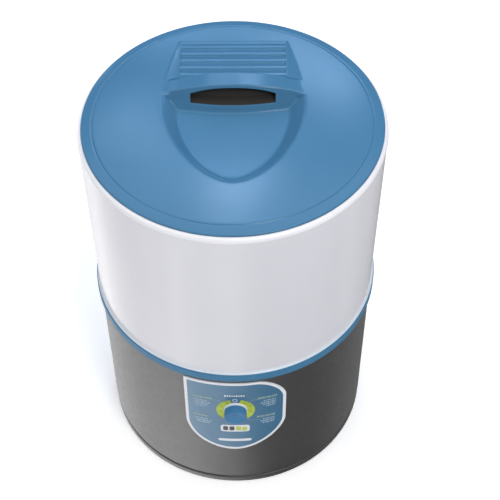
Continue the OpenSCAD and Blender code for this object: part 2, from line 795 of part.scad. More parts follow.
module agitator() {
    h = agitator_z;
    color("azure") difference() {
        union() {
            rotate_extrude($fn = 180) polygon([
                [agitator_r - 4, agitator_foot_z], [agitator_r, agitator_foot_z], [agitator_r, h + 1],
                [agitator_r - 3, h + 4], [120, h + 9], [70, h + 17], [46, h + 32], [32, h + 62],
                [column_r, column_top], [column_r - 4, column_top], [28, h + 61], [42, h + 29],
                [67, h + 13], [118, h + 5], [agitator_r - 4, h]]);
            translate([0, 0, h]) cylinder(r = hub_r, h = hub_top - h);
            for (i = [0:3]) rotate([0, 0, 45 + 90 * i]) rotate([90, 0, 0]) translate([0, 0, -1.5])
                linear_extrude(3) polygon([[hub_r - 2, h + 12], [66, h + 14], [44, h + 30.5], [30, h + 61],
                    [hub_r - 2, hub_top - 1]]);
            around(vane_count, 0) rotate([90, 0, 0]) translate([0, 0, -5]) linear_extrude(10) polygon([
                [30, h + 60], [44, h + 30], [68, h + 15], [118, h + 7], [agitator_r - 4, h + 2],
                [agitator_r - 5, h + 14], [agitator_r - 20, h + 30], [100, h + 38], [60, h + 50],
                [36, h + 68]]);
        }
        translate([0, 0, h - 1]) cylinder(r = shaft_r + 0.2, h = hub_top - h - 5, $fn = 6);
        translate([0, 0, h]) cylinder(r = m5_hole_r + 1, h = column_h);
        for (r = [84, 104, 134]) around(16, r, r) translate([0, 0, h]) cylinder(r = 3, h = 25, $fn = 24);
    }
}

module agitator_cap() {
    color("steelblue") rotate_extrude() polygon(concat(
        [[0, column_top + 0.3], [column_r - 7, column_top + 0.3], [column_r - 7, column_top - 8],
            [column_r - 5, column_top - 8], [column_r - 5, column_top + 0.3],
            [column_r - 0.5, column_top + 0.3]],
        arc(column_r - 4.5, column_top + 0.3, 4, 0, 60, 5), [[0, column_top + 5.5]]));
}

module agitator_bolt() {
    color("silver") difference() {
        union() {
            translate([0, 0, hub_top]) cylinder(r = 9, h = 1.5);
            translate([0, 0, hub_top + 1.5 - eps]) cylinder(r = 5.5, h = 5, $fn = 6);
            translate([0, 0, hub_top - bolt_len]) cylinder(r = m5_r + 0.6, h = bolt_len + eps);
        }
        translate([0, 0, hub_top + 4]) cylinder(r = 2, h = 5, $fn = 6);
    }
}

module drive_shaft() {
    color("silver") difference() {
        union() {
            translate([0, 0, shaft_bottom]) cylinder(r = shaft_r, h = shaft_shoulder_z - shaft_bottom);
            translate([0, 0, shaft_shoulder_z - eps])
                cylinder(r = shaft_r, h = hub_top - 7 - shaft_shoulder_z, $fn = 6);
        }
        translate([0, 0, hub_top - bolt_len - 2]) cylinder(r = m5_r + 0.7, h = bolt_len);
    }
}

module shaft_seal() {
    color("black") ring(shaft_r + run_gap, neck_r, neck_top, boss_top + 3);
}

module upper_bush() {
    color("goldenrod") ring(shaft_r + run_gap, bush_r, neck_top - bush_len, neck_top);
}

module lower_bush() {
    color("goldenrod") ring(shaft_r + run_gap, bush_r, housing_bottom, housing_bottom + bush_len);
}

module bearing_housing() {
    color("gray") difference() {
        union() {
            translate([0, 0, housing_bottom]) cylinder(r = housing_r, h = housing_len + 1);
            translate([0, 0, housing_top]) cylinder(r = boss_r, h = housing_flange_t);
            translate([0, 0, housing_top]) cylinder(r = neck_r, h = neck_top - housing_top);
            for (i = [0:5]) rotate([0, 0, 30 + 60 * i]) translate([0, -2, housing_top - 26])
                cube([boss_r - 8, 4, 27]);
        }
        translate([0, 0, housing_bottom - 1]) cylinder(r = bush_r, h = neck_top - housing_bottom + 2);
        around(6, housing_bolt_circle) translate([0, 0, housing_top - 1])
            cylinder(r = m5_hole_r, h = housing_flange_t + 2);
    }
}

module housing_bolts() {
    color("silver") around(6, housing_bolt_circle) translate([0, 0, housing_top])
        screw_up(m5_r, m5_head_r, m5_head_h, housing_flange_t + bolt_grip - 1);
}

// Belt drive

// Half outline of a grooved pulley rim, from the radius r_in to its edge
module pulley_rim(r, r_in) {
    rotate_extrude($fn = 120) polygon([
        [r_in, -pulley_w / 2], [r, -pulley_w / 2], [r, -groove_top_w], [r - groove_depth, -groove_foot_w],
        [r - groove_depth, groove_foot_w], [r, groove_top_w], [r, pulley_w / 2], [r_in, pulley_w / 2]]);
}

module driven_pulley() {
    color("silver") difference() {
        union() {
            translate([0, 0, belt_z]) pulley_rim(driven_r, driven_r - groove_depth - 4);
            translate([0, 0, pulley_hub_bottom])
                cylinder(r = shaft_r + 10, h = pulley_hub_top - pulley_hub_bottom);
            around(5, 0) translate([shaft_r + 5, -6, belt_z - 5])
                cube([driven_r - groove_depth - shaft_r - 7, 12, 10]);
        }
        translate([0, 0, pulley_hub_bottom - 1]) cylinder(r = shaft_r, h = 60);
    }
}

module pulley_nut() {
    color("silver") translate([0, 0, pulley_hub_bottom - nut_h]) difference() {
        cylinder(r = shaft_r + 5, h = nut_h, $fn = 6);
        translate([0, 0, -1]) cylinder(r = shaft_r, h = nut_h + 2);
    }
}

module motor_pulley() {
    color("silver") translate([motor_x, 0, 0]) difference() {
        union() {
            translate([0, 0, belt_z]) pulley_rim(driver_r, motor_shaft_r + 3);
            translate([0, 0, belt_z - pulley_w / 2]) cylinder(r = motor_shaft_r + 5, h = pulley_w + 6);
        }
        translate([0, 0, belt_z - pulley_w]) cylinder(r = motor_shaft_r, h = 2 * pulley_w);
    }
}

// Section of the belt: its outer face at radius r
module belt_section(r) {
    polygon([[r - belt_h, -belt_in_w], [r, -belt_out_w], [r, belt_out_w], [r - belt_h, belt_in_w]]);
}

module drive_belt() {
    wrap = 360 - 2 * belt_angle;
    color([0.12, 0.12, 0.12]) translate([0, 0, belt_z]) {
        rotate([0, 0, belt_angle]) rotate_extrude(angle = wrap, $fn = 120)
            belt_section(driven_r - belt_sink);
        translate([motor_x, 0, 0]) rotate([0, 0, -belt_angle])
            rotate_extrude(angle = 2 * belt_angle, $fn = 120)
            belt_section(driver_r - belt_sink);
        for (s = [0, 1]) mirror([0, s, 0]) rotate([0, 0, belt_angle]) rotate([90, 0, 0])
            translate([0, 0, -eps]) linear_extrude(belt_run + 2 * eps) belt_section(driven_r - belt_sink);
    }
}

// Motor

module motor_ears(z, h) {
    for (sx = [-1, 1], sy = [-1, 1]) translate([motor_x + sx * ear_x, sy * ear_x, z]) cylinder(r = 9, h = h);
}

module motor_holes(r) {
    for (sx = [-1, 1], sy = [-1, 1]) translate([motor_x + sx * ear_x, sy * ear_x, motor_bottom - 20])
        cylinder(r = r, h = 160);
}

module motor_stator() {
    color("dimgray") difference() {
        translate([motor_x, 0, 0]) ring(rotor_r + 0.6, motor_r, stator_bottom, stator_top);
        motor_holes(m5_hole_r);
    }
}

// End cover with a bearing for the motor shaft: a cup that opens towards the stator
module motor_cover(z, deep_z, face_z) {
    difference() {
        union() {
            translate([motor_x, 0, z]) cylinder(r = motor_r, h = cover_h);
            motor_ears(z, cover_h);
        }
        translate([motor_x, 0, deep_z]) difference() {
            cylinder(r = motor_r - 5, h = cover_h - 4);
            cylinder(r = motor_shaft_r + 6, h = cover_h);
            for (sx = [-1, 1], sy = [-1, 1]) translate([sx * ear_x, sy * ear_x, 0])
                cylinder(r = 9, h = cover_h);
        }
        translate([motor_x, 0, z - 1]) cylinder(r = motor_shaft_r + run_gap, h = cover_h + 2);
        motor_holes(m5_hole_r);
        translate([motor_x, 0, 0]) around(8, 26, 22.5) translate([-7, -2.5, face_z - 1]) cube([14, 5, 6]);
    }
}

module motor_upper_cover() {
    color("silver") motor_cover(stator_top, stator_top - eps, motor_top - 4);
}

module motor_lower_cover() {
    color("silver") motor_cover(motor_bottom, motor_bottom + 4 + eps, motor_bottom);
}

module motor_rotor() {
    color("gray") translate([motor_x, 0, 0]) ring(motor_shaft_r, rotor_r, stator_bottom + 3, stator_top - 3);
}

module motor_shaft() {
    color("silver") translate([motor_x, 0, belt_z - pulley_w / 2 - 4])
        cylinder(r = motor_shaft_r, h = motor_top - 1 - belt_z + pulley_w / 2 + 4);
}

module motor_fan() {
    color("ivory") translate([motor_x, 0, fan_z - 10]) difference() {
        union() {
            cylinder(r = 15, h = 10);
            translate([0, 0, 8]) cylinder(r = fan_r, h = 2);
            around(10, 0) translate([13, -1, 0]) cube([fan_r - 15, 2, 9]);
        }
        translate([0, 0, -1]) cylinder(r = motor_shaft_r, h = 12);
    }
}

module motor_bolts() {
    color("silver") for (sx = [-1, 1], sy = [-1, 1])
        translate([motor_x + sx * ear_x, sy * ear_x, motor_bottom]) {
            screw_up(m5_r, m5_head_r, m5_head_h, frame_z + frame_t + 8 - motor_bottom);
            translate([0, 0, frame_z + frame_t - motor_bottom]) cylinder(r = 4.6, h = 4, $fn = 6);
        }
}

module motor_grommets() {
    color("black") for (sx = [-1, 1], sy = [-1, 1]) translate([motor_x + sx * ear_x, sy * ear_x, 0])
        ring(m5_hole_r, 9, motor_top, frame_z);
}

// Pressed plate under the tub that carries the motor, with four tubes to the tub floor
module drive_frame() {
    color("gray") difference() {
        union() {
            translate([frame_left, -frame_half, frame_z])
                cube([frame_right - frame_left, 2 * frame_half, frame_t]);
            for (s = [-1, 1]) translate([frame_left, s * frame_half - 2, frame_z])
                cube([frame_right - frame_left, 4, 14]);
            for (p = posts) translate([p[0], p[1], frame_z]) cylinder(r = post_r, h = post_top - frame_z);
        }
        translate([0, 0, frame_z - 1]) cylinder(r = housing_r + seat_gap, h = frame_t + 2);
        translate([motor_x, 0, frame_z - 1]) cylinder(r = 22, h = frame_t + 2);
        for (p = posts) translate([p[0], p[1], frame_z - 1]) cylinder(r = m5_hole_r, h = 120);
        for (sx = [-1, 1], sy = [-1, 1]) translate([motor_x + sx * ear_x, sy * ear_x, frame_z - 1])
            cylinder(r = m5_hole_r, h = frame_t + 2);
        for (s = [-1, 1]) translate([capacitor_x, s * (capacitor_r + 8), frame_z - 1])
            cylinder(r = m3_hole_r, h = frame_t + 2);
    }
}

module frame_screws() {
    color("silver") {
        for (p = posts) translate([p[0], p[1], frame_z])
            screw_up(m5_r, m5_head_r, m5_head_h, post_top - frame_z + 10);
        for (s = [-1, 1]) translate([capacitor_x, s * (capacitor_r + 8), frame_z])
            screw_up(m3_r, m3_head_r, m3_head_h, frame_t + 6);
    }
}

module motor_capacitor() {
    color("lightgray") translate([capacitor_x, 0, frame_z + frame_t]) {
        cylinder(r = capacitor_r, h = capacitor_h);
        for (s = [-1, 1]) translate([-0.5, s * 6 - 3, capacitor_h - eps]) cube([1, 6, 8]);
    }
}

module capacitor_strap() {
    z0 = frame_z + frame_t;
    color("silver") difference() {
        union() {
            translate([capacitor_x, 0, 0]) ring(capacitor_r, capacitor_r + 1.5, z0 + 10, z0 + 30);
            for (s = [-1, 1]) {
                translate([capacitor_x - 7, s > 0 ? capacitor_r + 1 : -capacitor_r - 3, z0])
                    cube([14, 2, 16]);
                translate([capacitor_x - 7, s > 0 ? capacitor_r + 1 : -capacitor_r - 14, z0])
                    cube([14, 13, 2]);
            }
        }
        for (s = [-1, 1]) translate([capacitor_x, s * (capacitor_r + 8), z0 - 1])
            cylinder(r = m3_hole_r, h = 4);
        translate([capacitor_x, 0, z0 - 1]) cylinder(r = capacitor_r, h = 40);
    }
}

// Drain

module drain_strainer() {
    color("silver") translate([sump_x, sump_y, floor_under_z]) difference() {
        cylinder(r = sump_r - seat_gap, h = strainer_t);
        for (r = [6, 12, 17]) around(r, r) translate([0, 0, -1])
            cylinder(r = 1.8, h = strainer_t + 2, $fn = 16);
    }
}

module drain_hose() {
    bend_z = spigot_z + hose_bend;
    color("gray") {
        translate([sump_x, sump_y, 0]) ring(hose_in_r, hose_r, bend_z, sump_z - 2);
        translate([sump_x, sump_y + hose_bend, bend_z]) rotate([0, -90, 0]) rotate([0, 0, 180])
            rotate_extrude(angle = 90) translate([hose_bend, 0]) difference() {
                circle(r = hose_r);
                circle(r = hose_in_r);
            }
        translate([sump_x, sump_y + hose_bend, spigot_z]) rotate([-90, 0, 0])
            ring(hose_in_r, hose_r, 0, plate_y - 4 - sump_y - hose_bend);
    }
}

module hose_clamp() {
    ring(hose_r, hose_r + 1.2, -4, 4);
    translate([hose_r + 0.6, -5, -4]) cube([7, 10, 8]);
}

module hose_clamps() {
    color("silver") {
        translate([sump_x, sump_y, sump_z - 12]) hose_clamp();
        translate([sump_x, plate_y - 14, spigot_z]) rotate([-90, 0, 0]) hose_clamp();
    }
}

module drain_spigot() {
    end_y = -knob_face;
    color("dimgray") difference() {
        union() {
            rod_y(sump_x, spigot_z, spigot_r, end_y, end_y - plate_y + 26);
            rod_y(sump_x, spigot_z, spigot_r + 9, plate_y + plate_t + 4, 4);
        }
        rod_y(sump_x, spigot_z, outlet_bore_r, back_cut_y, wall_cut);
        for (s = [-1, 1]) rod_y(sump_x + s * (spigot_r + 5), spigot_z, m3_hole_r, back_cut_y, wall_cut);
    }
}

module service_plate() {
    color("gray") difference() {
        translate([-plate_half_w, plate_y, plate_low])
            cube([2 * plate_half_w, plate_t, plate_high - plate_low]);
        rod_y(sump_x, spigot_z, spigot_r + seat_gap, plate_y + 10, 20);
        rod_y(gland_x, gland_z, gland_body_r + seat_gap, plate_y + 10, 20);
        for (s = [-1, 1]) rod_y(sump_x + s * (spigot_r + 5), spigot_z, m3_hole_r, plate_y + 10, 20);
        for (s = [-1, 1]) rod_y(block_x + s * (block_half - 4), block_z, m3_hole_r, plate_y + 10, 20);
        service_places() rod_y(0, 0, m3_hole_r, plate_t + 1, plate_t + 2);
    }
}

// Screws that go in from the back, with their heads behind y0
module screw_front(x, z, y0, len) {
    rod_y(x, z, m3_head_r, y0 + m3_head_h, m3_head_h);
    rod_y(x, z, m3_r, y0 + eps, len + eps);
}

module service_screws() {
    face = plate_y + plate_t;
    color("silver") {
        service_places() screw_front(0, 0, plate_t, plate_t + ledge_t + 3);
        for (s = [-1, 1]) screw_front(sump_x + s * (spigot_r + 5), spigot_z, face + 4, 4 + plate_t + 3);
        for (s = [-1, 1]) screw_front(block_x + s * (block_half - 4), block_z, face, plate_t + 10);
    }
}

module cord_gland() {
    face = plate_y + plate_t;
    color("black") difference() {
        union() {
            rod_y(gland_x, gland_z, gland_body_r, face + 12, plate_t + 24);
            for (y = [face + 5, plate_y]) translate([gland_x, y, gland_z]) rotate([90, 0, 0])
                cylinder(r = gland_body_r + 4, h = 5, $fn = 6);
        }
        rod_y(gland_x, gland_z, gland_bore_r, back_cut_y, wall_cut);
    }
}

module terminal_block() {
    color("ivory") difference() {
        translate([block_x - block_half, plate_y - block_depth, block_z - block_h / 2])
            cube([2 * block_half, block_depth, block_h]);
        for (s = [-1, 1]) rod_y(block_x + s * (block_half - 4), block_z, m3_hole_r, plate_y + 1, block_depth);
        for (i = [-1, 0, 1]) translate([block_x + 8 * i, plate_y - block_depth + 5, block_z - block_h]) {
            cylinder(r = 2, h = 2 * block_h);
        }
    }
}

// Lint filter

// A pocket that hangs on two studs of the tub wall
module filter_holder() {
    in_r = body_r - tub_wall;
    color("white") difference() {
        intersection() {
            translate([-filter_half_w, in_r - filter_depth - 14, filter_low])
                cube([2 * filter_half_w, 60, filter_h]);
            tub_bore(seat_gap);
        }
        translate([-filter_half_w + filter_wall, in_r - filter_depth - 6, filter_low + filter_wall])
            cube([2 * (filter_half_w - filter_wall), filter_depth - 4, filter_h]);
        translate([-filter_half_w + 14, in_r - filter_depth - 20, filter_low + 16])
            cube([2 * (filter_half_w - 14), 16, filter_h - 30]);
        for (s = [-1, 1])
            rod_y(s * stud_x, stud_z, stud_r + 0.2, tub_top_r + 5, tub_top_r + 5 - in_r + stud_y);
    }
}

// A frame with a mesh of slots, which slides up out of its holder
module lint_filter() {
    in_r = body_r - tub_wall;
    half = filter_half_w - filter_wall - seat_gap;
    y0 = in_r - filter_depth - 6 + seat_gap;
    z0 = filter_low + filter_wall + seat_gap;
    color("steelblue") difference() {
        union() {
            translate([-half, y0, z0]) cube([2 * half, 8, filter_h - filter_wall]);
            translate([-18, y0 - 7, filter_low + filter_h]) cube([36, 15, 4]);
        }
        translate([-half + 8, y0 - 1, z0 + 10]) for (i = [0:8], j = [0:6])
            translate([i * (2 * half - 16) / 9, 0, j * 10]) cube([5, 10, 7.5]);
    }
}

// Leads

function unit(v) = v / norm(v);

// Corner cutting, done n times, that keeps both ends
function soften(p, n) = n == 0 ? p : soften(concat([p[0]],
    [for (i = [0:len(p) - 2]) each [p[i] * 0.75 + p[i + 1] * 0.25, p[i] * 0.25 + p[i + 1] * 0.75]],
    [p[len(p) - 1]]), n - 1);

// Tube of radius r along the points p
module lead(p, r) {
    last = len(p) - 1;
    along = [for (i = [0:last]) unit(p[min(i + 1, last)] - p[max(i - 1, 0)])];
    start = unit(cross(along[0], abs(along[0][2]) > 0.9 ? [1, 0, 0] : [0, 0, 1]));
    side = [for (i = 0, n = start; i <= last;
        i = i + 1, n = i <= last ? unit(n - along[i] * (n * along[i])) : n) n];
    rings = [for (i = [0:last], k = [0:lead_sides - 1]) let (a = 360 * k / lead_sides)
        p[i] + r * (cos(a) * side[i] + sin(a) * cross(along[i], side[i]))];
    polyhedron(points = rings, faces = concat(
        [[for (k = [0:lead_sides - 1]) k]],
        [for (i = [0:last - 1], k = [0:lead_sides - 1])
            let (a = i * lead_sides + k, b = i * lead_sides + (k + 1) % lead_sides)
            each [[a, b + lead_sides, b], [a, a + lead_sides, b + lead_sides]]],
        [[for (k = [lead_sides - 1:-1:0]) last * lead_sides + k]]));
}

// From the terminal block down to the pan, round its right side and up to the timer
module supply_lead() {
    block_y = plate_y - block_depth / 2 - 3;
    lane = [for (a = [67.5:-7.5:-67.5]) [lead_lane_r * cos(a), lead_lane_r * sin(a), lead_floor_z]];
    down = soften([[block_x, block_y, block_z - block_h / 2 - seat_gap], [block_x, block_y, 60],
        [45, lead_lane_r, lead_floor_z + 8], lane[0] + [-18, 7, 0], lane[0]], 2);
    up = soften([lane[18], lane[18] + [-18, -7, 0], [20, -lead_lane_r + 4, lead_floor_z + 8],
        [8, timer_back_y + 12, 90], [8, timer_back_y + 12, knob_z - 50],
        [8, timer_back_y + 6, tab_z - seat_gap]], 2);
    color("black") lead(concat(down, [for (i = [1:17]) lane[i]], up), lead_r);
}

// From the timer up and along under the tub to the motor
module motor_lead() {
    color("black") lead(soften([
        [-8, timer_back_y + 4, tab_z - seat_gap], [-8, timer_back_y + 14, knob_z - 44],
        [-30, timer_back_y + 30, knob_z + 10], [motor_x - 105, -motor_r - 92, frame_z - 12],
        [motor_x - 35, -motor_r - 52, stator_top - 20],
        [motor_x - 10, -motor_r - 22, stator_top - 20],
        [motor_x, -motor_r - seat_gap, stator_top - 20]], 3), lead_r);
}

module lead_clips() {
    color("ivory") for (a = [-60, -22.5, 22.5, 60])
        rotate([0, 0, a]) translate([lead_lane_r, 0, lead_floor_z])
        rotate([90, 0, 0]) translate([0, 0, -4]) difference() {
            union() {
                cylinder(r = lead_r + 2.5, h = 8);
                translate([-lead_r - 6, -lead_r - seat_gap, 0]) cube([2 * lead_r + 12, 2, 8]);
            }
            translate([0, 0, -1]) cylinder(r = lead_r + 0.4, h = 10);
            translate([-20, -lead_r - seat_gap - 10, -1]) cube([40, 10, 10]);
        }
}

lid();
wash_tub();
trim_ring();
lower_skirt();
base_pan();
foot_front_left();
foot_front_right();
foot_rear_left();
foot_rear_right();
control_panel();
panel_border();
dial_scale();
knob_bezel();
timer_knob();
timer_shaft();
timer_cam();
timer_case();
timer_bracket();
timer_screws();
agitator();
agitator_cap();
agitator_bolt();
drive_shaft();
shaft_seal();
upper_bush();
lower_bush();
bearing_housing();
housing_bolts();
driven_pulley();
pulley_nut();
drive_belt();
motor_pulley();
motor_stator();
motor_upper_cover();
motor_lower_cover();
motor_rotor();
motor_shaft();
motor_fan();
motor_bolts();
motor_grommets();
drive_frame();
frame_screws();
motor_capacitor();
capacitor_strap();
drain_strainer();
drain_hose();
hose_clamps();
drain_spigot();
service_plate();
service_screws();
cord_gland();
terminal_block();
filter_holder();
lint_filter();
body_screws();
base_screws();
supply_lead();
motor_lead();
lead_clips();
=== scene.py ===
# %% [markdown]
# # A round washing machine with a lift-off lid
# The machine is a white one-piece tub on a dark grey skirt. A thin blue ring sits between
# them, a blue lid closes the top, and a curved panel with one knob sits on the skirt.
# The CAD solids come in as a fixed frame. Here they get their finishes, and the pieces
# whose looks matter most are modelled again: the lid, the knob and the print of the panel.

# %% Load the frame
import math
import bpy
import numpy as np
from mathutils import Matrix, Vector, geometry


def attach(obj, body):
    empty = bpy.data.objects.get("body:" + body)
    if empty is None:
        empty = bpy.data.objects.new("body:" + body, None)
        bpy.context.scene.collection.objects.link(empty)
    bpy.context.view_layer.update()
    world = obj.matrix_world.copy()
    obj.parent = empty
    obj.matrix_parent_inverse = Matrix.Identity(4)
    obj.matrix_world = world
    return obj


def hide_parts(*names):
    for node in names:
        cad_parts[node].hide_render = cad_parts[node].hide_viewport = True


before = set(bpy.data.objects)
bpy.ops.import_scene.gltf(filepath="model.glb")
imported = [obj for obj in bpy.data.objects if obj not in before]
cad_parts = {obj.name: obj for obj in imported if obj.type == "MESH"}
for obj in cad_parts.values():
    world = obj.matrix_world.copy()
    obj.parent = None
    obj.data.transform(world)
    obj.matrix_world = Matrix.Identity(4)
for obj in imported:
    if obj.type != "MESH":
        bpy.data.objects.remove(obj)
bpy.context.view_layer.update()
print("nodes", len(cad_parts))

# %% [markdown]
# ## Camera
# The view is from the front and from above, so the rims of the lid, the ring and the base
# show as ellipses. Their widths and heights gave the angle: 50 degrees above the horizon,
# two and a half metres away, with a long lens that keeps the sides nearly parallel.
# A small roll levels the picture as the photographer held it.

# %% Camera
camera_place = Vector((0.0300, -1.5962, 2.3799))
camera_target = Vector((0.0300, 0.0, 0.4537))
camera_roll = -0.004
focal_mm = 88.6
sensor_mm = 36

lens = bpy.data.cameras.new("studio_camera")
lens.lens = focal_mm
lens.sensor_width = sensor_mm
camera = bpy.data.objects.new("studio_camera", lens)
bpy.context.scene.collection.objects.link(camera)
camera.location = camera_place
look = (camera_target - camera_place).to_track_quat("-Z", "Y").to_matrix()
camera.rotation_euler = (look @ Matrix.Rotation(camera_roll, 3, "Z")).to_euler()
bpy.context.scene.camera = camera
print("camera", round((camera_target - camera_place).length, 3), "m from its target")

# %% [markdown]
# ## Floor and light
# A machine in a catalogue stands on a white floor that fills its shadows from below. The
# floor could be left out and the background painted white, but then the machine would float.
# So a wide plane lies under the feet. It is left out of the gloss, because the upright walls
# mirror the room and not the floor.

# %% Floor
floor_size = 80


def nothing_selected():
    """Leaves edit mode and deselects everything, before a new piece is begun."""
    if bpy.context.object and bpy.context.object.mode != "OBJECT":
        bpy.ops.object.mode_set(mode="OBJECT")
    bpy.ops.object.select_all(action="DESELECT")


nothing_selected()
bpy.ops.mesh.primitive_plane_add(size=floor_size)
floor = bpy.context.object
floor.name = "studio_floor"
floor.visible_glossy = False
print("floor", tuple(round(v, 1) for v in floor.dimensions))

# %% [markdown]
# One large dome of light could fill the room, but then a dark skirt shows no form. A
# photographer hangs a large soft light over the machine, sets a smaller one high in front and
# weak ones at the sides, and keeps the rest of the room dim. The same is done here. An area
# light is the soft light: the larger it is, the softer its shadow.

# %% Room lights
def soft_light(name, place, target, width, height, power, tint=(1, 1, 1)):
    """A rectangular soft light at a place, turned to face a target."""
    light = bpy.data.lights.new(name, "AREA")
    light.shape = "RECTANGLE"
    light.size = width
    light.size_y = height
    light.energy = power
    light.color = tint
    lamp = bpy.data.objects.new(name, light)
    bpy.context.scene.collection.objects.link(lamp)
    lamp.location = place
    lamp.rotation_euler = (Vector(target) - Vector(place)).to_track_quat("-Z", "Y").to_euler()


soft_light("ceiling", (0, 0, 4.5), (0, 0, 0), 6.0, 6.0, 191)
soft_light("front_high", (1.05, -2.2, 3.3), (0, -0.1, 0.6), 1.2, 1.0, 54)
soft_light("left_high", (-2.0, -0.9, 2.6), (0, 0, 0.6), 1.2, 1.0, 8.1)
soft_light("left_back", (-1.8, 1.6, 0.9), (0, 0, 0.4), 1.0, 1.6, 5.5)
soft_light("right_front", (2.4, -1.4, 1.5), (0, 0, 0.5), 1.2, 1.6, 5.2)

# %% [markdown]
# The lid mirrors what stands high behind it. One large panel there would give it one even
# sheen, but the real lid shows soft uneven patches. So small bluish panels hang behind the
# machine, each placed by its angle to the side and its angle above the lid, and a flat strip
# lights the rear of the lid.

# %% Panels that the lid mirrors
lid_level = 0.83
sky_far = 2.6
sky_size = 0.227
sky_tint = (0.46, 0.65, 0.95)
# Angle to the side and angle above the lid, in degrees, and power in watts
sky_panels = [(-26, 21, 1.6), (-19, 44, 1.4), (-14, 42, 0.77), (-14, 47, 1.35),
              (-4, 52, 2.35), (-2, 56, 2.4), (1, 52, 3.47), (6, 37, 1.92),
              (6, 52, 0.18), (11, 37, 1.40), (14, 39, 2.2), (40, 23, 3.5)]
for side, lift, power in sky_panels:
    flat = sky_far * math.cos(math.radians(lift))
    place = (flat * math.sin(math.radians(side)), flat * math.cos(math.radians(side)),
             lid_level + sky_far * math.sin(math.radians(lift)))
    soft_light("sky_panel", place, (0, 0, lid_level), sky_size, sky_size, power, sky_tint)
soft_light("sky_low", (0, 2.19, 2.23), (0, 0.08, 0.85), 0.95, 0.16, 4.0, sky_tint)
print("panels", len(sky_panels))

# %% [markdown]
# The upright walls mirror what lies below the horizon, because the camera looks down on
# them. In a studio that is the glow of a window on the left, and dark cloth on the right.
# It could be an array of lamps, but the world itself can hold that ring of light: below the
# horizon, its brightness follows the compass direction. The colours are shown as they are,
# without a film curve, so that white stays white.

# %% Steps of the ring, and a helper for numbers in the world
world = bpy.data.worlds.new("pale_room")
world.use_nodes = True
room, wires = world.node_tree.nodes, world.node_tree.links
glow = room["Background"]
ring_unit = 4
upper_glow = 0.05
# Brightness from the back over the left, the front and the right to the back again
ring_steps = [0.4, 0.8, 1.2, 1.45, 1.95, 1.85, 1.82, 1.74, 1.8, 2.2, 2.1, 2.8, 1.96, 1.6, 1.5,
              1.5, 0.4, 0.0, 0.0, 0.0, 0.0, 0.01, 0.0, 0.2, 0.5, 0.3, 0.44, 0.4, 0.35, 0.35, 0.4]


def math_step(kind, *values):
    """A world node that works on numbers or on other nodes' results."""
    step = room.new("ShaderNodeMath")
    step.operation = kind
    for i, value in enumerate(values):
        if isinstance(value, float):
            step.inputs[i].default_value = value
        else:
            wires.new(value, step.inputs[i])
    return step.outputs[0]


print("ring of light in", len(ring_steps) - 1, "steps")

# %% [markdown]
# The direction that a ray takes through the world comes from its texture coordinates. Its
# compass angle, as a share of the full turn, picks a stop of a colour ramp.

# %% Ring of room light
way = room.new("ShaderNodeSeparateXYZ")
wires.new(room.new("ShaderNodeTexCoord").outputs["Generated"], way.inputs["Vector"])
compass = math_step("ARCTAN2", way.outputs["X"], math_step("MULTIPLY", way.outputs["Y"], -1.0))
share = math_step("ADD", math_step("DIVIDE", compass, 2 * math.pi), 0.5)
ring = room.new("ShaderNodeValToRGB")
for i in range(1, len(ring_steps) - 1):
    ring.color_ramp.elements.new(i / (len(ring_steps) - 1))
for stop, strength in zip(ring.color_ramp.elements, ring_steps):
    stop.color = (*[strength / ring_unit] * 3, 1)
wires.new(share, ring.inputs["Fac"])
wires.new(ring.outputs["Color"], glow.inputs["Color"])
glow.inputs["Strength"].default_value = ring_unit
upper = room.new("ShaderNodeBackground")
upper.inputs["Strength"].default_value = upper_glow
halves = room.new("ShaderNodeMixShader")
wires.new(math_step("LESS_THAN", way.outputs["Z"], 0.0), halves.inputs["Fac"])
wires.new(upper.outputs["Background"], halves.inputs[1])
wires.new(glow.outputs["Background"], halves.inputs[2])
wires.new(halves.outputs["Shader"], room["World Output"].inputs["Surface"])
bpy.context.scene.world = world
bpy.context.scene.view_settings.view_transform = "Standard"
print("world nodes", len(room))

# %% [markdown]
# ## Finishes
# Nearly all of the machine is moulded plastic, so one recipe makes most finishes: a cloudy
# change of colour as wide as a hand, fine scuffs that change the gloss, and a grain of the
# mould in the bump. A painted picture could hold all this too, but it would blur close up and
# need a layout for each piece. The patterns here are computed in the object's own space in
# metres, so they keep their size on every piece, and only the numbers differ.

# %% Helper: colour from screen values
def screen(red, green, blue):
    """A colour as seen on a screen, 0 to 255, turned into the light values that shaders use."""
    def light(v):
        v /= 255
        return v / 12.92 if v <= 0.04045 else ((v + 0.055) / 1.055) ** 2.4
    return light(red), light(green), light(blue)


print("screen white is", screen(255, 255, 255))


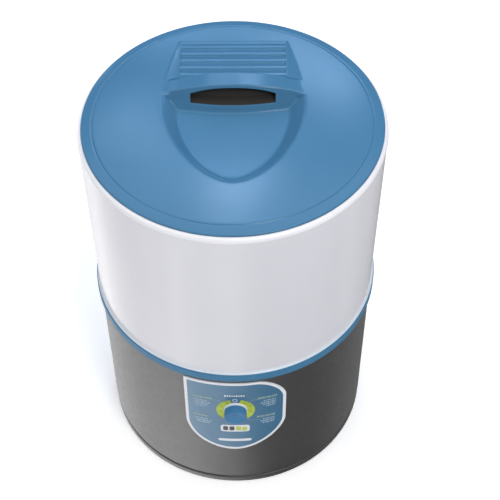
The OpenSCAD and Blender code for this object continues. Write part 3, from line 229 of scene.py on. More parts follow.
# %% Helper: one finish
def finish(name, colour, rough, cloud=0.16, vary=0.05, scuff=0.05, scuff_size=0.014,
           grain=0.0009, depth=2e-5, stretch=(1, 1, 1), metal=0.0, specular=0.5,
           wave=0.0, wave_size=0.12):
    """A moulded, painted or metal finish with clouds of colour, scuffs and a fine grain."""
    made = bpy.data.materials.new(name)
    made.use_nodes = True
    made.diffuse_color = (*colour, 1)
    nodes, links = made.node_tree.nodes, made.node_tree.links
    shader = nodes["Principled BSDF"]
    shader.inputs["Metallic"].default_value = metal
    shader.inputs["Specular IOR Level"].default_value = specular

    place = nodes.new("ShaderNodeTexCoord")
    spread = nodes.new("ShaderNodeMapping")
    spread.inputs["Scale"].default_value = stretch
    links.new(place.outputs["Object"], spread.inputs["Vector"])

    clouds = nodes.new("ShaderNodeTexNoise")
    clouds.inputs["Scale"].default_value = 1 / cloud
    clouds.inputs["Detail"].default_value = 3
    tones = nodes.new("ShaderNodeValToRGB")
    tones.color_ramp.elements[0].position = 0.3
    tones.color_ramp.elements[0].color = (*[max(0, v * (1 - vary)) for v in colour], 1)
    tones.color_ramp.elements[1].position = 0.7
    tones.color_ramp.elements[1].color = (*[min(1, v * (1 + vary)) for v in colour], 1)
    links.new(spread.outputs["Vector"], clouds.inputs["Vector"])
    links.new(clouds.outputs["Fac"], tones.inputs["Fac"])
    links.new(tones.outputs["Color"], shader.inputs["Base Color"])

    scuffs = nodes.new("ShaderNodeTexNoise")
    scuffs.inputs["Scale"].default_value = 1 / scuff_size
    scuffs.inputs["Detail"].default_value = 6
    scuffs.inputs["Roughness"].default_value = 0.65
    level = nodes.new("ShaderNodeMapRange")
    level.inputs["From Min"].default_value = 0.3
    level.inputs["From Max"].default_value = 0.7
    level.inputs["To Min"].default_value = max(0.02, rough - scuff)
    level.inputs["To Max"].default_value = min(1, rough + scuff)
    links.new(spread.outputs["Vector"], scuffs.inputs["Vector"])
    links.new(scuffs.outputs["Fac"], level.inputs["Value"])
    links.new(level.outputs["Result"], shader.inputs["Roughness"])

    mould = nodes.new("ShaderNodeTexNoise")
    mould.inputs["Scale"].default_value = 1 / grain
    mould.inputs["Detail"].default_value = 2
    relief = nodes.new("ShaderNodeBump")
    relief.inputs["Distance"].default_value = depth
    links.new(spread.outputs["Vector"], mould.inputs["Vector"])
    links.new(mould.outputs["Fac"], relief.inputs["Height"])
    if wave:
        tall = nodes.new("ShaderNodeMapping")
        tall.inputs["Scale"].default_value = (1, 1, 0.12)
        swell = nodes.new("ShaderNodeTexNoise")
        swell.inputs["Scale"].default_value = 1 / wave_size
        swell.inputs["Detail"].default_value = 1
        under = nodes.new("ShaderNodeBump")
        under.inputs["Distance"].default_value = wave
        links.new(place.outputs["Object"], tall.inputs["Vector"])
        links.new(tall.outputs["Vector"], swell.inputs["Vector"])
        links.new(swell.outputs["Fac"], under.inputs["Height"])
        links.new(under.outputs["Normal"], relief.inputs["Normal"])
    links.new(relief.outputs["Normal"], shader.inputs["Normal"])
    return made


finishes = {}


def add_finishes(recipes):
    """Makes a finish from each name, screen colour, roughness and further numbers."""
    for name, (rgb, rough, further) in recipes.items():
        finishes[name] = finish(name, screen(*rgb), rough, **further)
    print("finishes", sorted(recipes))


# %% [markdown]
# The lid and the ring are the same blue plastic, the ring the more matt one. The tub is a
# glossy white whose wall has the slow upright waves that a deep moulding gets as it cools,
# and they break its reflections into soft bands. Its rim wears a whiter copy of that white,
# a painted highlight on the top of the roll, and its foot a duller, bluish copy, a painted
# highlight for the pale blue line where the tub meets the ring. The skirt is satin dark
# grey. The pocket behind the finger slot is a dull dark grey, which is painted shade: the
# shade inside the slot. A wave could be modelled too, but it is finer than a mesh should
# hold, so it sits in the bump.

# %% Finishes that show in front
add_finishes({
    "lid_blue": ((67, 114, 148), 0.18, dict(vary=0.04, scuff=0.03, specular=0.16, depth=12e-6)),
    "ring_blue": ((65, 121, 158), 0.46, dict(vary=0.03, specular=0.14)),
    # The rim: a whiter copy of the tub's white, a painted highlight
    "rim_white": ((229, 229, 234), 0.2, dict(vary=0.01, scuff=0.03, specular=0.32, depth=6e-6)),
    # The foot: a bluish copy of the tub's white, a painted highlight of the pale blue line
    "foot_white": ((214, 221, 230), 0.3, dict(vary=0.012, specular=0.3, depth=6e-6)),
    "tub_white": ((216, 215, 222), 0.16, dict(vary=0.012, scuff=0.03, specular=0.32,
                                              depth=6e-6, wave=0.0012)),
    "skirt_grey": ((73, 73, 73), 0.42, dict(vary=0.04, specular=0.56, grain=0.0012, depth=4e-5)),
    "panel_blue": ((66, 114, 147), 0.34, {}),
    "panel_white": ((228, 230, 236), 0.38, dict(vary=0.02, specular=0.3)),
    "scale_green": ((176, 194, 64), 0.42, dict(cloud=0.02, vary=0.09, specular=0.25)),
    # The pocket: dark grey that is painted shade inside the finger slot
    "pocket_dark": ((54, 52, 51), 0.7, dict(specular=0.12)),
    "knob_blue": ((67, 122, 165), 0.46, dict(specular=0.14)),
})

# %% [markdown]
# Inside the machine are nylon, rubber, bronze, steel and painted metal. Steel gets a brushed
# look from a noise that is stretched along the height, and rubber is dark with a coarse
# grain. The same recipe serves for all of them, with other numbers.

# %% Finishes inside and below
add_finishes({
    "foot_rubber": ((34, 34, 35), 0.75, dict(scuff=0.1, depth=8e-5)),
    "inner_white": ((226, 230, 232), 0.33, dict(vary=0.02)),
    "nylon": ((222, 215, 196), 0.45, {}),
    "steel": ((190, 192, 196), 0.30, dict(vary=0.06, metal=1.0, scuff=0.1, stretch=(1, 1, 0.08),
                                          grain=0.0006, depth=3e-5)),
    "frame_paint": ((96, 99, 103), 0.48, dict(vary=0.06, depth=6e-5)),
    "motor_paint": ((62, 66, 70), 0.45, dict(vary=0.06, depth=6e-5)),
    "cast_alloy": ((168, 170, 173), 0.52, dict(vary=0.08, metal=1.0, scuff=0.12, grain=0.0016,
                                               depth=15e-5)),
    "bronze": ((190, 150, 92), 0.4, dict(vary=0.08, metal=1.0)),
    "seal_rubber": ((30, 30, 31), 0.7, dict(scuff=0.1)),
    "hose_grey": ((150, 152, 154), 0.55, {}),
    "fitting_plastic": ((78, 79, 81), 0.5, dict(depth=5e-5)),
    "black_plastic": ((30, 30, 32), 0.42, dict(vary=0.1)),
})

# %% [markdown]
# Each CAD node names its finish in its own material slot, so the slot is given the new
# finish of the same name and nothing else of the node changes.

# %% Dress the CAD nodes
undressed = []
for name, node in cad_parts.items():
    for held in node.material_slots:
        label = held.material.name.split(".")[0] if held.material else ""
        if label in finishes:
            held.material = finishes[label]
        else:
            undressed.append((name, label))
print("left undressed", undressed)

# %% [markdown]
# The floor is a plain pale sheet with hardly any pattern. More light would turn it white but
# would also wash out the machine, so the sheet glows a little by itself.

# %% Floor finish
floor_glow = 0.28
paper = finish("floor_paper", screen(247, 247, 248), 0.75, vary=0.006, cloud=0.6, specular=0.2)
floor.data.materials.append(paper)
sheet = paper.node_tree.nodes["Principled BSDF"]
sheet.inputs["Emission Color"].default_value = (1, 1, 1, 1)
sheet.inputs["Emission Strength"].default_value = floor_glow
print("floor finish", paper.name)

# %% [markdown]
# ## The lid
# The lid is one moulding: a crowned disc with a flat band round it, a hand recess shaped like
# a shield, an arched grip over the recess with a finger slot in its leaning front, and a ramp
# with five ridges behind the grip. Its faces flow into each other over soft lips, which a
# stack of extrudes and bevels can't give. So the top is described as a height for each
# place, as a relief carver would, and a net of points with more rows where the shape turns
# fast is lifted to that height. Rim, edge and locating ring are rings of points round it.

# %% Sizes of the lid, in millimetres
MM = 0.001
lid_wall = 3.0
# The crowned disc
crown_z = 831.7
crown_fall = 5.4
dome_r = 254.0
# The recess: its outline at the surface, and its foot
recess_floor_z = 803.4
recess_half = 132.0
recess_tip = 199.6
recess_turn_y = 40.0
foot_half = 103.7
foot_tip = 168.0
shield_power = 1.78
dish_depth = 0.9
foot_round = 0.12
right_lip = 0.12
left_lip = 0.3
# The grip, and the leaning wall under it
grip_top_z = 849.8
grip_arch_r = 415.0
grip_fall = 0.07
grip_lip_y = 62.0
grip_back_y = 98.0
grip_back_slope = 2.6
front_edge_round = 2.2
back_edge_round = 1.6
grip_fillet = 2.8
wall_foot_y = 36.8
wall_foot_bow = 9.3
wall_lean = 0.55
# The ramp behind the grip
ramp_half = 99.6
ramp_end_y = 205.0
ramp_front_z = 837.0
ramp_end_z = 829.9
ramp_end_slope = 1.1
ramp_edge_round = 0.8
flank_narrow = 3.0
flank_width = 25.0
# The ridges on the ramp
ridge_first_y = 102.8
ridge_pitch = 20.7
ridge_last_y = 195.0
ridge_half = 97.6
groove_depth = 3.7
crest_front = 5.6
crest_back = 5.8
step_width = 0.9
first_step, first_share = 1.2, 0.55
second_step, second_share = 4.6, 0.45
print("lid crown", crown_z, "grip", grip_top_z)

# %% [markdown]
# Two forms of the lid meet in a fillet or a round, as in any moulding. The higher or lower
# of two heights would meet in a crease, so these helpers mix the two heights where they are
# nearly equal.

# %% Helpers: soft joins of two heights
def soft_top(a, b, k):
    """The higher of two heights, with a fillet where they meet."""
    mix = np.clip(0.5 + 0.5 * (a - b) / k, 0, 1)
    return b * (1 - mix) + a * mix + k * mix * (1 - mix)


def soft_low(a, b, k):
    """The lower of two heights, with a round where they meet."""
    return -soft_top(-a, -b, k)


def soft_ramp(t, foot, lip):
    """0 before 0, 1 after 1 and straight between, with the corners rounded over foot and lip."""
    low = np.where(t > -foot, (np.clip(t, -foot, foot) + foot) ** 2 / (4 * foot), 0)
    mid = np.where(t > foot, t, low)
    high = 1 - (1 + lip - np.clip(t, 1 - lip, 1 + lip)) ** 2 / (4 * lip)
    return np.where(t > 1 - lip, high, mid)


print("fillet test", float(soft_top(np.array(1.0), np.array(1.0), 2.0)))

# %% [markdown]
# The recess is bounded by two shields: one at the lid's surface and a smaller one at its
# floor. A place between them gets a share from 0 at the floor to 1 at the surface, and the
# wall follows that share with a soft foot and a soft lip. The lip is rounder on the left
# than on the right, as the photo shows it.

# %% The disc and the outline of the recess
def dome_height(r):
    """The crowned disc."""
    return crown_z - crown_fall * (r / dome_r) ** 2


def shield(x, y, half, tip):
    """1 on the outline of a shield, less inside it and more outside."""
    front = np.maximum(0, recess_turn_y - y)
    both = (np.abs(x) / half) ** shield_power + (front / tip) ** shield_power
    return both ** (1 / shield_power)


def recess_share(x, y):
    """0 at the recess floor and 1 at the surface of the lid."""
    outer = shield(x, y, recess_half, recess_tip)
    inner = np.maximum(shield(x, y, foot_half, foot_tip), 1e-6)
    return (inner - 1) * outer / np.maximum(inner - outer, 1e-6)


print("share halfway down the tip", float(recess_share(0.0, -144.0).round(3)))

# %% [markdown]
# The grip is an arch with a leaning front, and behind it the ramp falls to the rear in five
# ridges. Each ridge has a flat crest, two small steps to the front and a slow rise behind.
# The forms are made one by one, and each is joined to the last by the soft helpers.

# %% Height of the lid at a place
def grip_front(x):
    """The foot of the leaning wall, bowed to the front at its middle."""
    return wall_foot_y + wall_foot_bow * (x / foot_half) ** 2


def ridge_drop(y):
    """How far the ramp lies below its crests at a place."""
    off = (y - ridge_first_y + crest_front) % ridge_pitch - crest_front
    steps = (first_share * soft_ramp((-off - first_step) / step_width, 0.2, 0.2)
             + second_share * soft_ramp((-off - second_step) / step_width, 0.2, 0.2))
    behind = soft_ramp((off - crest_back) / (ridge_pitch - 2 * crest_back), 0.1, 0.06)
    return groove_depth * np.where(off < 0, steps, behind)


def lid_height(x, y, ridges=True):
    """The height of the lid's top, in millimetres."""
    # The disc and the recess, whose share is raised to the surface behind the grip's lip
    dome = dome_height(np.hypot(x, y))
    share = np.where(y > 80, 2.0, recess_share(x, y) + np.maximum(0, y - grip_lip_y + 5) / 9)
    dish = dish_depth * np.clip(1 - (x / foot_half) ** 2, 0, 1)
    bottom = recess_floor_z - dish
    lip = right_lip + (left_lip - right_lip) * np.clip(-x / 80, 0, 1)
    share = share * (1 + lip) / (1 + right_lip)
    top = bottom + (dome - bottom) * soft_ramp(share, foot_round, lip)

    # The ramp with its two flanks, its end and its ridges
    along = (y - grip_back_y) / (ramp_end_y - grip_back_y)
    ramp = ramp_front_z - along * (ramp_front_z - ramp_end_z)
    flank_w = flank_narrow + flank_width * np.clip(1 - along, 0, 1) ** 0.85
    flank = ramp - (np.abs(x) - ramp_half) * np.maximum(ramp - dome, 0.5) / flank_w
    end = ramp - (y - ramp_end_y) * ramp_end_slope
    within = (np.abs(x) < ridge_half) & (y < ridge_last_y)
    ramp = ramp - np.where(within, ridge_drop(y) if ridges else groove_depth, 0)
    ramp = soft_low(soft_low(ramp, flank, ramp_edge_round), end, ramp_edge_round)
    ramp = np.where((y > grip_back_y - 3) & (y < ramp_end_y + 14), ramp, 0)
    top = np.where(within & (y > grip_back_y), ramp, soft_top(top, ramp, 1.0))

    # The grip: its leaning front, its arched top and its steep back
    rise = np.sqrt(grip_arch_r ** 2 - x ** 2)
    arch = grip_top_z - (grip_arch_r - rise) - grip_fall * (y - grip_lip_y)
    front = recess_floor_z + (y - grip_front(x)) / wall_lean
    back = arch + (grip_back_y - y) * grip_back_slope
    grip = soft_low(soft_low(front, arch, front_edge_round), back, back_edge_round)
    return soft_top(top, grip, grip_fillet)


print("height at the middle of the grip", float(lid_height(np.array(0.0), np.array(85.0)).round(2)))

# %% [markdown]
# The net has a row or column every few millimetres, and about every millimetre on the leaning
# wall, the back of the grip and the ridges. An even net would need far more points for the
# same edges. It is trimmed to a circle and closed by a ring of evenly spaced points, and the
# flat net is then joined up into triangles.

# %% Net of points for the top
ring_points = 240
seam_r = 246.0
seam_margin = 2.6
turn = np.arange(ring_points) * 2 * math.pi / ring_points


def spaced(*parts):
    """Rows from (start, end, step) parts, without doubles."""
    rows = np.concatenate([np.arange(a, b, s) for a, b, s in parts] + [[parts[-1][1]]])
    return np.unique(np.round(rows, 3))


def disc_net(columns, rows):
    """Points and triangles of a disc; its ring of evenly spaced points comes first."""
    gx, gy = np.meshgrid(columns, rows)
    keep = gx ** 2 + gy ** 2 < (seam_r - seam_margin) ** 2
    flat = np.concatenate([np.stack([seam_r * np.cos(turn), seam_r * np.sin(turn)], 1),
                           np.stack([gx[keep], gy[keep]], 1)])
    out = geometry.delaunay_2d_cdt([Vector(p) for p in flat], [], [], 0, 1e-5)
    back = np.zeros(len(out[0]), int)
    for i, sources in enumerate(out[3]):
        back[i] = sources[0]
    faces = [tuple(int(back[v]) for v in f) for f in out[2]]
    return flat, faces


half_columns = spaced((0, 84, 3), (84, 95, 2), (95, 103, 0.8), (103, 140, 2.2), (140, 246, 7))
columns = np.unique(np.concatenate([-half_columns, half_columns]))
rows = spaced((-246, -176, 7), (-176, -112, 2.4), (-112, 30, 3), (30, 70, 1.5), (70, 94, 3),
              (94, 101, 0.9), (101, 209, 0.6), (209, 246, 5))
top_flat, top_faces = disc_net(columns, rows)
print("top net", len(top_flat), "points", len(top_faces), "triangles")

# %% [markdown]
# The underside follows the top at the thickness of the wall, as a moulding does. Solidify
# could make it, but it would copy the fine net and the ridges. A coarser net without the
# ridges is enough, because it shows only when the lid is up.

# %% Underside net
under_lines = spaced((-246, 246, 5))
under_flat, under_faces = disc_net(under_lines, under_lines)


def underside(x, y):
    """The height of the underside, a wall's thickness below the top across the slope."""
    step = 0.5
    gx = (lid_height(x + step, y, False) - lid_height(x - step, y, False)) / (2 * step)
    gy = (lid_height(x, y + step, False) - lid_height(x, y - step, False)) / (2 * step)
    return lid_height(x, y, False) - lid_wall * np.sqrt(1 + gx ** 2 + gy ** 2)


print("underside net", len(under_flat), "points")

# %% [markdown]
# The rim is a profile carried round the lid: the crown's edge drops into a narrow groove,
# then comes the sloping band, the rounded outer edge, the seat, and the locating ring that
# keeps the lid centred in the tub's mouth.

# %% Rim profile, as (radius, height) in millimetres
rim_profile = [
    (249.0, 826.51), (251.2, 826.42), (252.4, 826.26), (253.2, 825.98), (253.8, 825.60),
    (254.3, 825.05), (254.8, 824.68), (255.3, 824.52), (255.8, 824.62), (256.4, 824.84),
    (257.2, 824.93), (258.4, 824.78), (264.0, 823.80), (271.4, 822.50), (272.8, 822.15),
    (273.8, 821.50), (274.4, 820.50), (274.5, 819.40), (274.5, 818.40), (274.2, 817.90),
    (273.5, 817.65), (262.6, 817.60), (262.2, 817.20), (262.2, 806.40), (261.4, 805.60),
    (260.0, 805.60), (259.2, 806.40), (259.2, 818.60), (258.0, 820.40), (254.0, 822.20),
    (250.0, 823.20)]
print("rim profile", len(rim_profile), "rings")

# %% [markdown]
# A mesh can be made straight from a list of points and a list of faces. That suits a shape
# that is computed, because no tool has to be steered. The top, the rings of the rim and the
# underside go into the same two lists, so the lid is one closed skin.

# %% Helpers: a piece from points and faces
def mesh_piece(name, points, faces, body, material):
    """A new piece from points in millimetres, which rides on a body and wears a finish."""
    mesh = bpy.data.meshes.new(name)
    mesh.from_pydata([tuple(p) for p in np.asarray(points) * MM], [], faces)
    mesh.validate()
    mesh.materials.append(material)
    piece = bpy.data.objects.new(name, mesh)
    bpy.context.scene.collection.objects.link(piece)
    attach(piece, body)
    return piece


def band(first, second):
    """Faces between two rings of points, from the number of each ring's first point."""
    turns = [(i, (i + 1) % ring_points) for i in range(ring_points)]
    return [(first + i, second + i, second + j, first + j) for i, j in turns]


print("faces in a band", len(band(0, ring_points)))

# %% The whole lid mesh
top_z = lid_height(top_flat[:, 0], top_flat[:, 1])
under_z = underside(under_flat[:, 0], under_flat[:, 1])
points = [np.column_stack([top_flat, top_z])]
faces = list(top_faces)
count = len(top_flat)
previous = 0
for r, z in rim_profile:
    height = np.full(ring_points, z)
    points.append(np.column_stack([r * np.cos(turn), r * np.sin(turn), height]))
    faces += band(previous, count)
    previous = count
    count += ring_points
points.append(np.column_stack([under_flat, under_z]))
faces += band(previous, count)
faces += [tuple(count + v for v in reversed(f)) for f in under_faces]
lid = mesh_piece("lid_moulding", np.concatenate(points), faces,
                 "lid", finishes["lid_blue"])
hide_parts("lid")
print("lid", len(lid.data.vertices), "points", len(lid.data.polygons), "faces")

# %% [markdown]
# The finger slot has blunt ends, an arched top and a nearly straight foot. Its edge could be
# built into the net, but the net would have to follow it. So it is cut through the leaning
# wall with a boolean: a circle of points is moved onto the slot's outline and extruded to
# the back, and what that solid covers is taken away.

# %% Helpers: modes, and a solid from an outline
def edit_all():
    """Goes into edit mode with all of the active piece selected."""
    bpy.ops.object.mode_set(mode="EDIT")
    bpy.ops.mesh.select_all(action="SELECT")


def object_mode():
    """Goes back to object mode."""
    bpy.ops.object.mode_set(mode="OBJECT")


def face_outward(piece):
    """Turns all faces of a piece outward, and leaves it active."""
    nothing_selected()
    piece.select_set(True)
    bpy.context.view_layer.objects.active = piece
    edit_all()
    bpy.ops.mesh.normals_make_consistent(inside=False)
    object_mode()


def extruded_outline(name, places, depth):
    """A closed solid from (x, y, z) points in millimetres, extruded to the back by a depth."""
    nothing_selected()
    bpy.ops.mesh.primitive_circle_add(vertices=len(places), radius=1, fill_type="NGON",
                                      location=(0, 0, 0))
    solid = bpy.context.object
    solid.name = name
    for vertex, place in zip(solid.data.vertices, places):
        vertex.co = [v * MM for v in place]
    edit_all()
    bpy.ops.mesh.extrude_region_move(TRANSFORM_OT_translate={"value": (0, depth * MM, 0)})
    object_mode()
    face_outward(solid)
    print(name, len(solid.data.vertices), "points")
    return solid


# %% Finger slot
slot_half = 78.2
slot_top_z = 844.2
slot_arch = 11.9
slot_foot_z = 813.9
slot_foot_bow = 1.4
cutter_start_y = 20
cutter_depth = 72


def slot_outline(grow=0.0):
    """The finger slot as 72 (x, z) points in millimetres: the arched top, then the foot."""
    half = slot_half + grow
    across = [1 - 2 * i / 35 for i in range(36)]
    top = [(t * half, slot_top_z - slot_arch * abs(t) ** 2.3 + grow) for t in across]
    foot = [(-t * half, slot_foot_z + slot_foot_bow * t ** 2 - grow) for t in across]
    return top + foot


cutter = extruded_outline("slot_cutter", [(x, cutter_start_y, z) for x, z in slot_outline()],
                          cutter_depth)
face_outward(lid)
cut = lid.modifiers.new("finger_slot", "BOOLEAN")
cut.operation = "DIFFERENCE"
cut.solver = "EXACT"
cut.object = cutter
bpy.ops.object.modifier_apply(modifier=cut.name)
bpy.data.objects.remove(cutter)
bpy.ops.object.shade_smooth_by_angle(angle=math.radians(52))
print("lid with its slot", len(lid.data.vertices), "points", len(lid.data.polygons), "faces")

# %% [markdown]
# ## Rim and foot of the tub
# The tub's mouth ends in a rolled rim, the brightest line of the machine, as its top faces
# the light from above. Its whiter finish adds a painted highlight to that light. Where the
# tub meets the blue ring, its wall flows out in a small hollow and ends in a thin nose that
# rests on the ring; its bluish finish is a painted highlight of the pale blue line there. A
# lathe would turn both shapes, and the spin operator works like one: an outline is laid out
# with a circle of points and swept once round the machine.

# %% Helper: a ring turned from its outline
spin_steps = 240


def turned_ring(name, outline, material):
    """A closed ring swept round the height axis from (radius, height) points in millimetres."""
    nothing_selected()
    bpy.ops.mesh.primitive_circle_add(vertices=len(outline), radius=1)
    ring = bpy.context.object
    ring.name = name
    for vertex, (r, z) in zip(ring.data.vertices, outline):
        vertex.co = (r * MM, 0, z * MM)
    edit_all()
    bpy.ops.mesh.spin(steps=spin_steps, angle=2 * math.pi, center=(0, 0, 0), axis=(0, 0, 1),
                      use_auto_merge=True)
    bpy.ops.mesh.select_all(action="SELECT")
    bpy.ops.mesh.remove_doubles(threshold=0.001 * MM)
    bpy.ops.mesh.normals_make_consistent(inside=False)
    object_mode()
    bpy.ops.object.shade_smooth_by_angle(angle=math.radians(40))
    ring.data.materials.append(material)
    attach(ring, "cabinet")
    print(name, len(ring.data.vertices), "points", len(ring.data.polygons), "faces")


def arc_points(r, z, wide, high, first, last, count):
    """Points on part of an ellipse round a centre, between two angles in degrees."""
    angles = np.radians(np.linspace(first, last, count))
    return [(r + wide * math.cos(a), z + high * math.sin(a)) for a in angles]


# %% [markdown]
# The rim's outline is a thin crescent that lies over the CAD rim: an outer arc and back
# along an inner one.

# %% Rolled rim
rim_r, rim_z = 272.2, 808.3
rim_outer, rim_inner = 9.12, 8.5
rim_outline = (arc_points(rim_r, rim_z, rim_outer, rim_outer, -5, 86, 14)
               + arc_points(rim_r, rim_z, rim_inner, rim_inner, 84, -3, 8))
# The rim's whiter finish is a painted highlight on the top of the roll
turned_ring("tub_rim", rim_outline, finishes["rim_white"])

# %% [markdown]
# The foot's outline starts on the wall, follows a quarter of an ellipse outward for the
# hollow, and ends in the nose.

# %% Foot of the tub
foot_outline = arc_points(282.6, 426.4, 4.5, 5.6, 180, 258, 9) + [
    (282.2, 420.2), (282.0, 419.4), (281.2, 418.6), (277.6, 418.6), (277.6, 426.4)]
# The foot's bluish finish is a painted highlight of the pale blue line at the ring
turned_ring("tub_foot_bead", foot_outline, finishes["foot_white"])

# %% [markdown]
# ## The knob
# The timer knob is a short blue barrel with a soft front edge, a shallow dish and a raised
# pointer. A cylinder is set at its place on the collar, its front is inset and pushed in for
# the dish, and its rim gets a round bevel. These tools work on what is selected, so a helper
# selects edges or faces by where they are.

# %% Helper: select by place
def select_where(piece, kind, test):
    """Selects the edges or faces that pass a test, and stays in edit mode."""
    bpy.ops.object.mode_set(mode="EDIT")
    bpy.ops.mesh.select_mode(type=kind)
    bpy.ops.mesh.select_all(action="DESELECT")
    object_mode()
    for part in piece.data.edges if kind == "EDGE" else piece.data.polygons:
        part.select = test(part)
    bpy.ops.object.mode_set(mode="EDIT")


# %% Knob barrel, in millimetres
knob_z = 295.0
knob_r = 22.3
knob_back_y = -284.6
knob_front_y = -300.1
knob_lip = 3.4
knob_bevel = 2.6
# Two steps of the dish: how far in from the last edge, and how far down
dish_steps = [(1.6, 0.9), (8, 0.3)]


def on_front_rim(edge):
    """True on the outer edge of the knob's front."""
    ends = [knob.data.vertices[v].co for v in edge.vertices]
    return all(abs(p.y - knob_front_y * MM) < 1e-5
               and abs(math.hypot(p.x, p.z - knob_z * MM) - knob_r * MM) < 1e-4 for p in ends)


nothing_selected()
bpy.ops.mesh.primitive_cylinder_add(
    vertices=96, radius=knob_r * MM, depth=(knob_back_y - knob_front_y) * MM,
    rotation=(math.pi / 2, 0, 0),
    location=(0, (knob_back_y + knob_front_y) / 2 * MM, knob_z * MM))
knob = bpy.context.object
knob.name = "knob_barrel"
bpy.ops.object.transform_apply(location=True, rotation=True, scale=True)
select_where(knob, "FACE", lambda face: face.normal.y < -0.9)
bpy.ops.mesh.inset(thickness=knob_lip * MM)
for inward, down in dish_steps:
    bpy.ops.mesh.inset(thickness=inward * MM)
    bpy.ops.transform.translate(value=(0, down * MM, 0))
select_where(knob, "EDGE", on_front_rim)
bpy.ops.mesh.bevel(offset=knob_bevel * MM, segments=6, profile=0.5, affect="EDGES")
object_mode()
print("knob barrel", len(knob.data.polygons), "faces")

# %% [markdown]
# The pointer is a bar with rounded edges that runs from the middle to the rim of the knob.
# It is joined to the barrel, because the real knob is one moulding.

# %% Pointer, in millimetres
pointer_size = (2.6, 1.0, 15)
pointer_sink = 0.55
pointer_rise = 10.5
pointer_bevel = 0.35

nothing_selected()
bpy.ops.mesh.primitive_cube_add(
    size=1, location=(0, (knob_front_y + pointer_sink) * MM, (knob_z + pointer_rise) * MM))
pointer = bpy.context.object
pointer.scale = [v * MM for v in pointer_size]
bpy.ops.object.transform_apply(location=True, rotation=True, scale=True)
edit_all()
bpy.ops.mesh.bevel(offset=pointer_bevel * MM, segments=3, affect="EDGES")
object_mode()
knob.select_set(True)
bpy.context.view_layer.objects.active = knob
bpy.ops.object.join()
knob.data.materials.clear()
knob.data.materials.append(finishes["knob_blue"])
bpy.ops.object.shade_smooth_by_angle(angle=math.radians(32))
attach(knob, "timer_group")
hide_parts("timer_knob")
print("knob", len(knob.data.vertices), "points")

# %% [markdown]
# ## The finger pocket
# Behind the slot all is an even dark grey, the shade inside the slot. The fingers reach into
# a closed pocket there, whose dull dark grey is painted shade, not the lid's plastic. Left
# open, the slot would show the bright inside of the tub. The pocket starts from the slot's
# own outline, set along the leaning wall and extruded to the back. Its front face is opened,
# and Solidify gives it a wall.

# %% Finger pocket, in millimetres
pocket_grow = 0.4
pocket_start = 1.5
pocket_depth = 26
pocket_wall = 1

mouth = [(x, grip_front(x) + (z - recess_floor_z) * wall_lean + pocket_start, z)
         for x, z in slot_outline(pocket_grow)]
pocket = extruded_outline("finger_pocket", mouth, pocket_depth)
select_where(pocket, "FACE", lambda face: face.normal.y < -0.5)
bpy.ops.mesh.delete(type="ONLY_FACE")
object_mode()
wall = pocket.modifiers.new("pocket_wall", "SOLIDIFY")
wall.thickness = pocket_wall * MM
wall.offset = 1
bpy.ops.object.modifier_apply(modifier=wall.name)
bpy.ops.object.shade_smooth_by_angle(angle=math.radians(40))
# The pocket's dark grey is painted shade, the shade inside the slot
pocket.data.materials.append(finishes["pocket_dark"])
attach(pocket, "lid")
print("finger pocket", len(pocket.data.vertices), "points", len(pocket.data.polygons), "faces")

# %% [markdown]
# ## The print of the panel
# The panel carries pale labels round the scale, thin lines that lead to the scale, and a
# two-coloured badge. No words are copied: each line of a label is a row of plain dashes. A
# dash could be drawn in a picture, but a thin plate lasts in every renderer. One plate is
# modelled flat and copied. Each copy's columns are moved to the length and the round ends
# that it needs, and the copy is then bent round the panel.

# %% Finishes of the print
print_white = finish("print_white", screen(222, 226, 232), 0.4, vary=0.02, specular=0.2)
print_pale = finish("print_pale", screen(150, 172, 160), 0.4, specular=0.25)
print_mist = finish("print_mist", screen(158, 180, 194), 0.4, specular=0.25)
print_lime = finish("print_lime", screen(186, 198, 86), 0.4, specular=0.25)
print_dark = finish("print_dark", screen(46, 46, 48), 0.38, vary=0.08)
print_leaf = finish("print_leaf", screen(104, 122, 44), 0.42, vary=0.08)
print("print finishes ready")

# %% [markdown]
# The panel is part of a cylinder, so a flat drawing is bent onto it by turning its distance
# along the curve into an angle. The plate has 20 columns of points, six of them at each end
# for the round ends.

# %% One flat plate, and the bend onto the panel
panel_r = 279.7
dash_columns = 20
end_columns = 6


def bend(u, lift, z):
    """A place on the panel from its distance along the curve, its lift and its height."""
    r = panel_r + lift
    return np.column_stack([r * np.sin(u / panel_r), -r * np.cos(u / panel_r), z])


nothing_selected()
bpy.ops.mesh.primitive_grid_add(x_subdivisions=dash_columns - 1, y_subdivisions=1, size=2)
dash = bpy.context.object
edit_all()
bpy.ops.mesh.extrude_region_move(TRANSFORM_OT_translate={"value": (0, 0, 1)})
object_mode()
dash_points = np.array([v.co for v in dash.data.vertices])
dash_faces = [tuple(f.vertices) for f in dash.data.polygons]
bpy.data.objects.remove(dash)
dash_column = np.round((dash_points[:, 0] + 1) / 2 * (dash_columns - 1)).astype(int)
print("dash", len(dash_points), "points", dash_column.max() + 1, "columns")


# %% One dash on the panel
def dash_plate(u0, u1, z, height, lift, corner, thick=0.12, least=0.02):
    """Points of one dash between u0 and u1 along the panel, with round ends."""
    half = height / 2
    corner = min(corner, half, (u1 - u0) / 2)
    ends = corner * (1 - np.cos(np.linspace(0, math.pi / 2, end_columns)))
    middle_columns = dash_columns - 2 * end_columns
    middle = np.linspace(corner, u1 - u0 - corner, middle_columns + 2)[1:-1]
    along = np.concatenate([ends, middle, (u1 - u0) - ends[::-1]])
    near = np.minimum(along, (u1 - u0) - along)
    tall = half - corner + np.sqrt(np.maximum(corner ** 2 - np.maximum(corner - near, 0) ** 2, 0))
    tall = np.maximum(tall, least)
    u = u0 + along[dash_column]
    v = np.sign(dash_points[:, 1]) * tall[dash_column]
    return bend(u, lift + thick * (dash_points[:, 2] > 0.5), z + v)


print("a dash of 40 by 5 has", len(dash_plate(-20, 20, 300, 5, 0.03, 1.0)), "points")

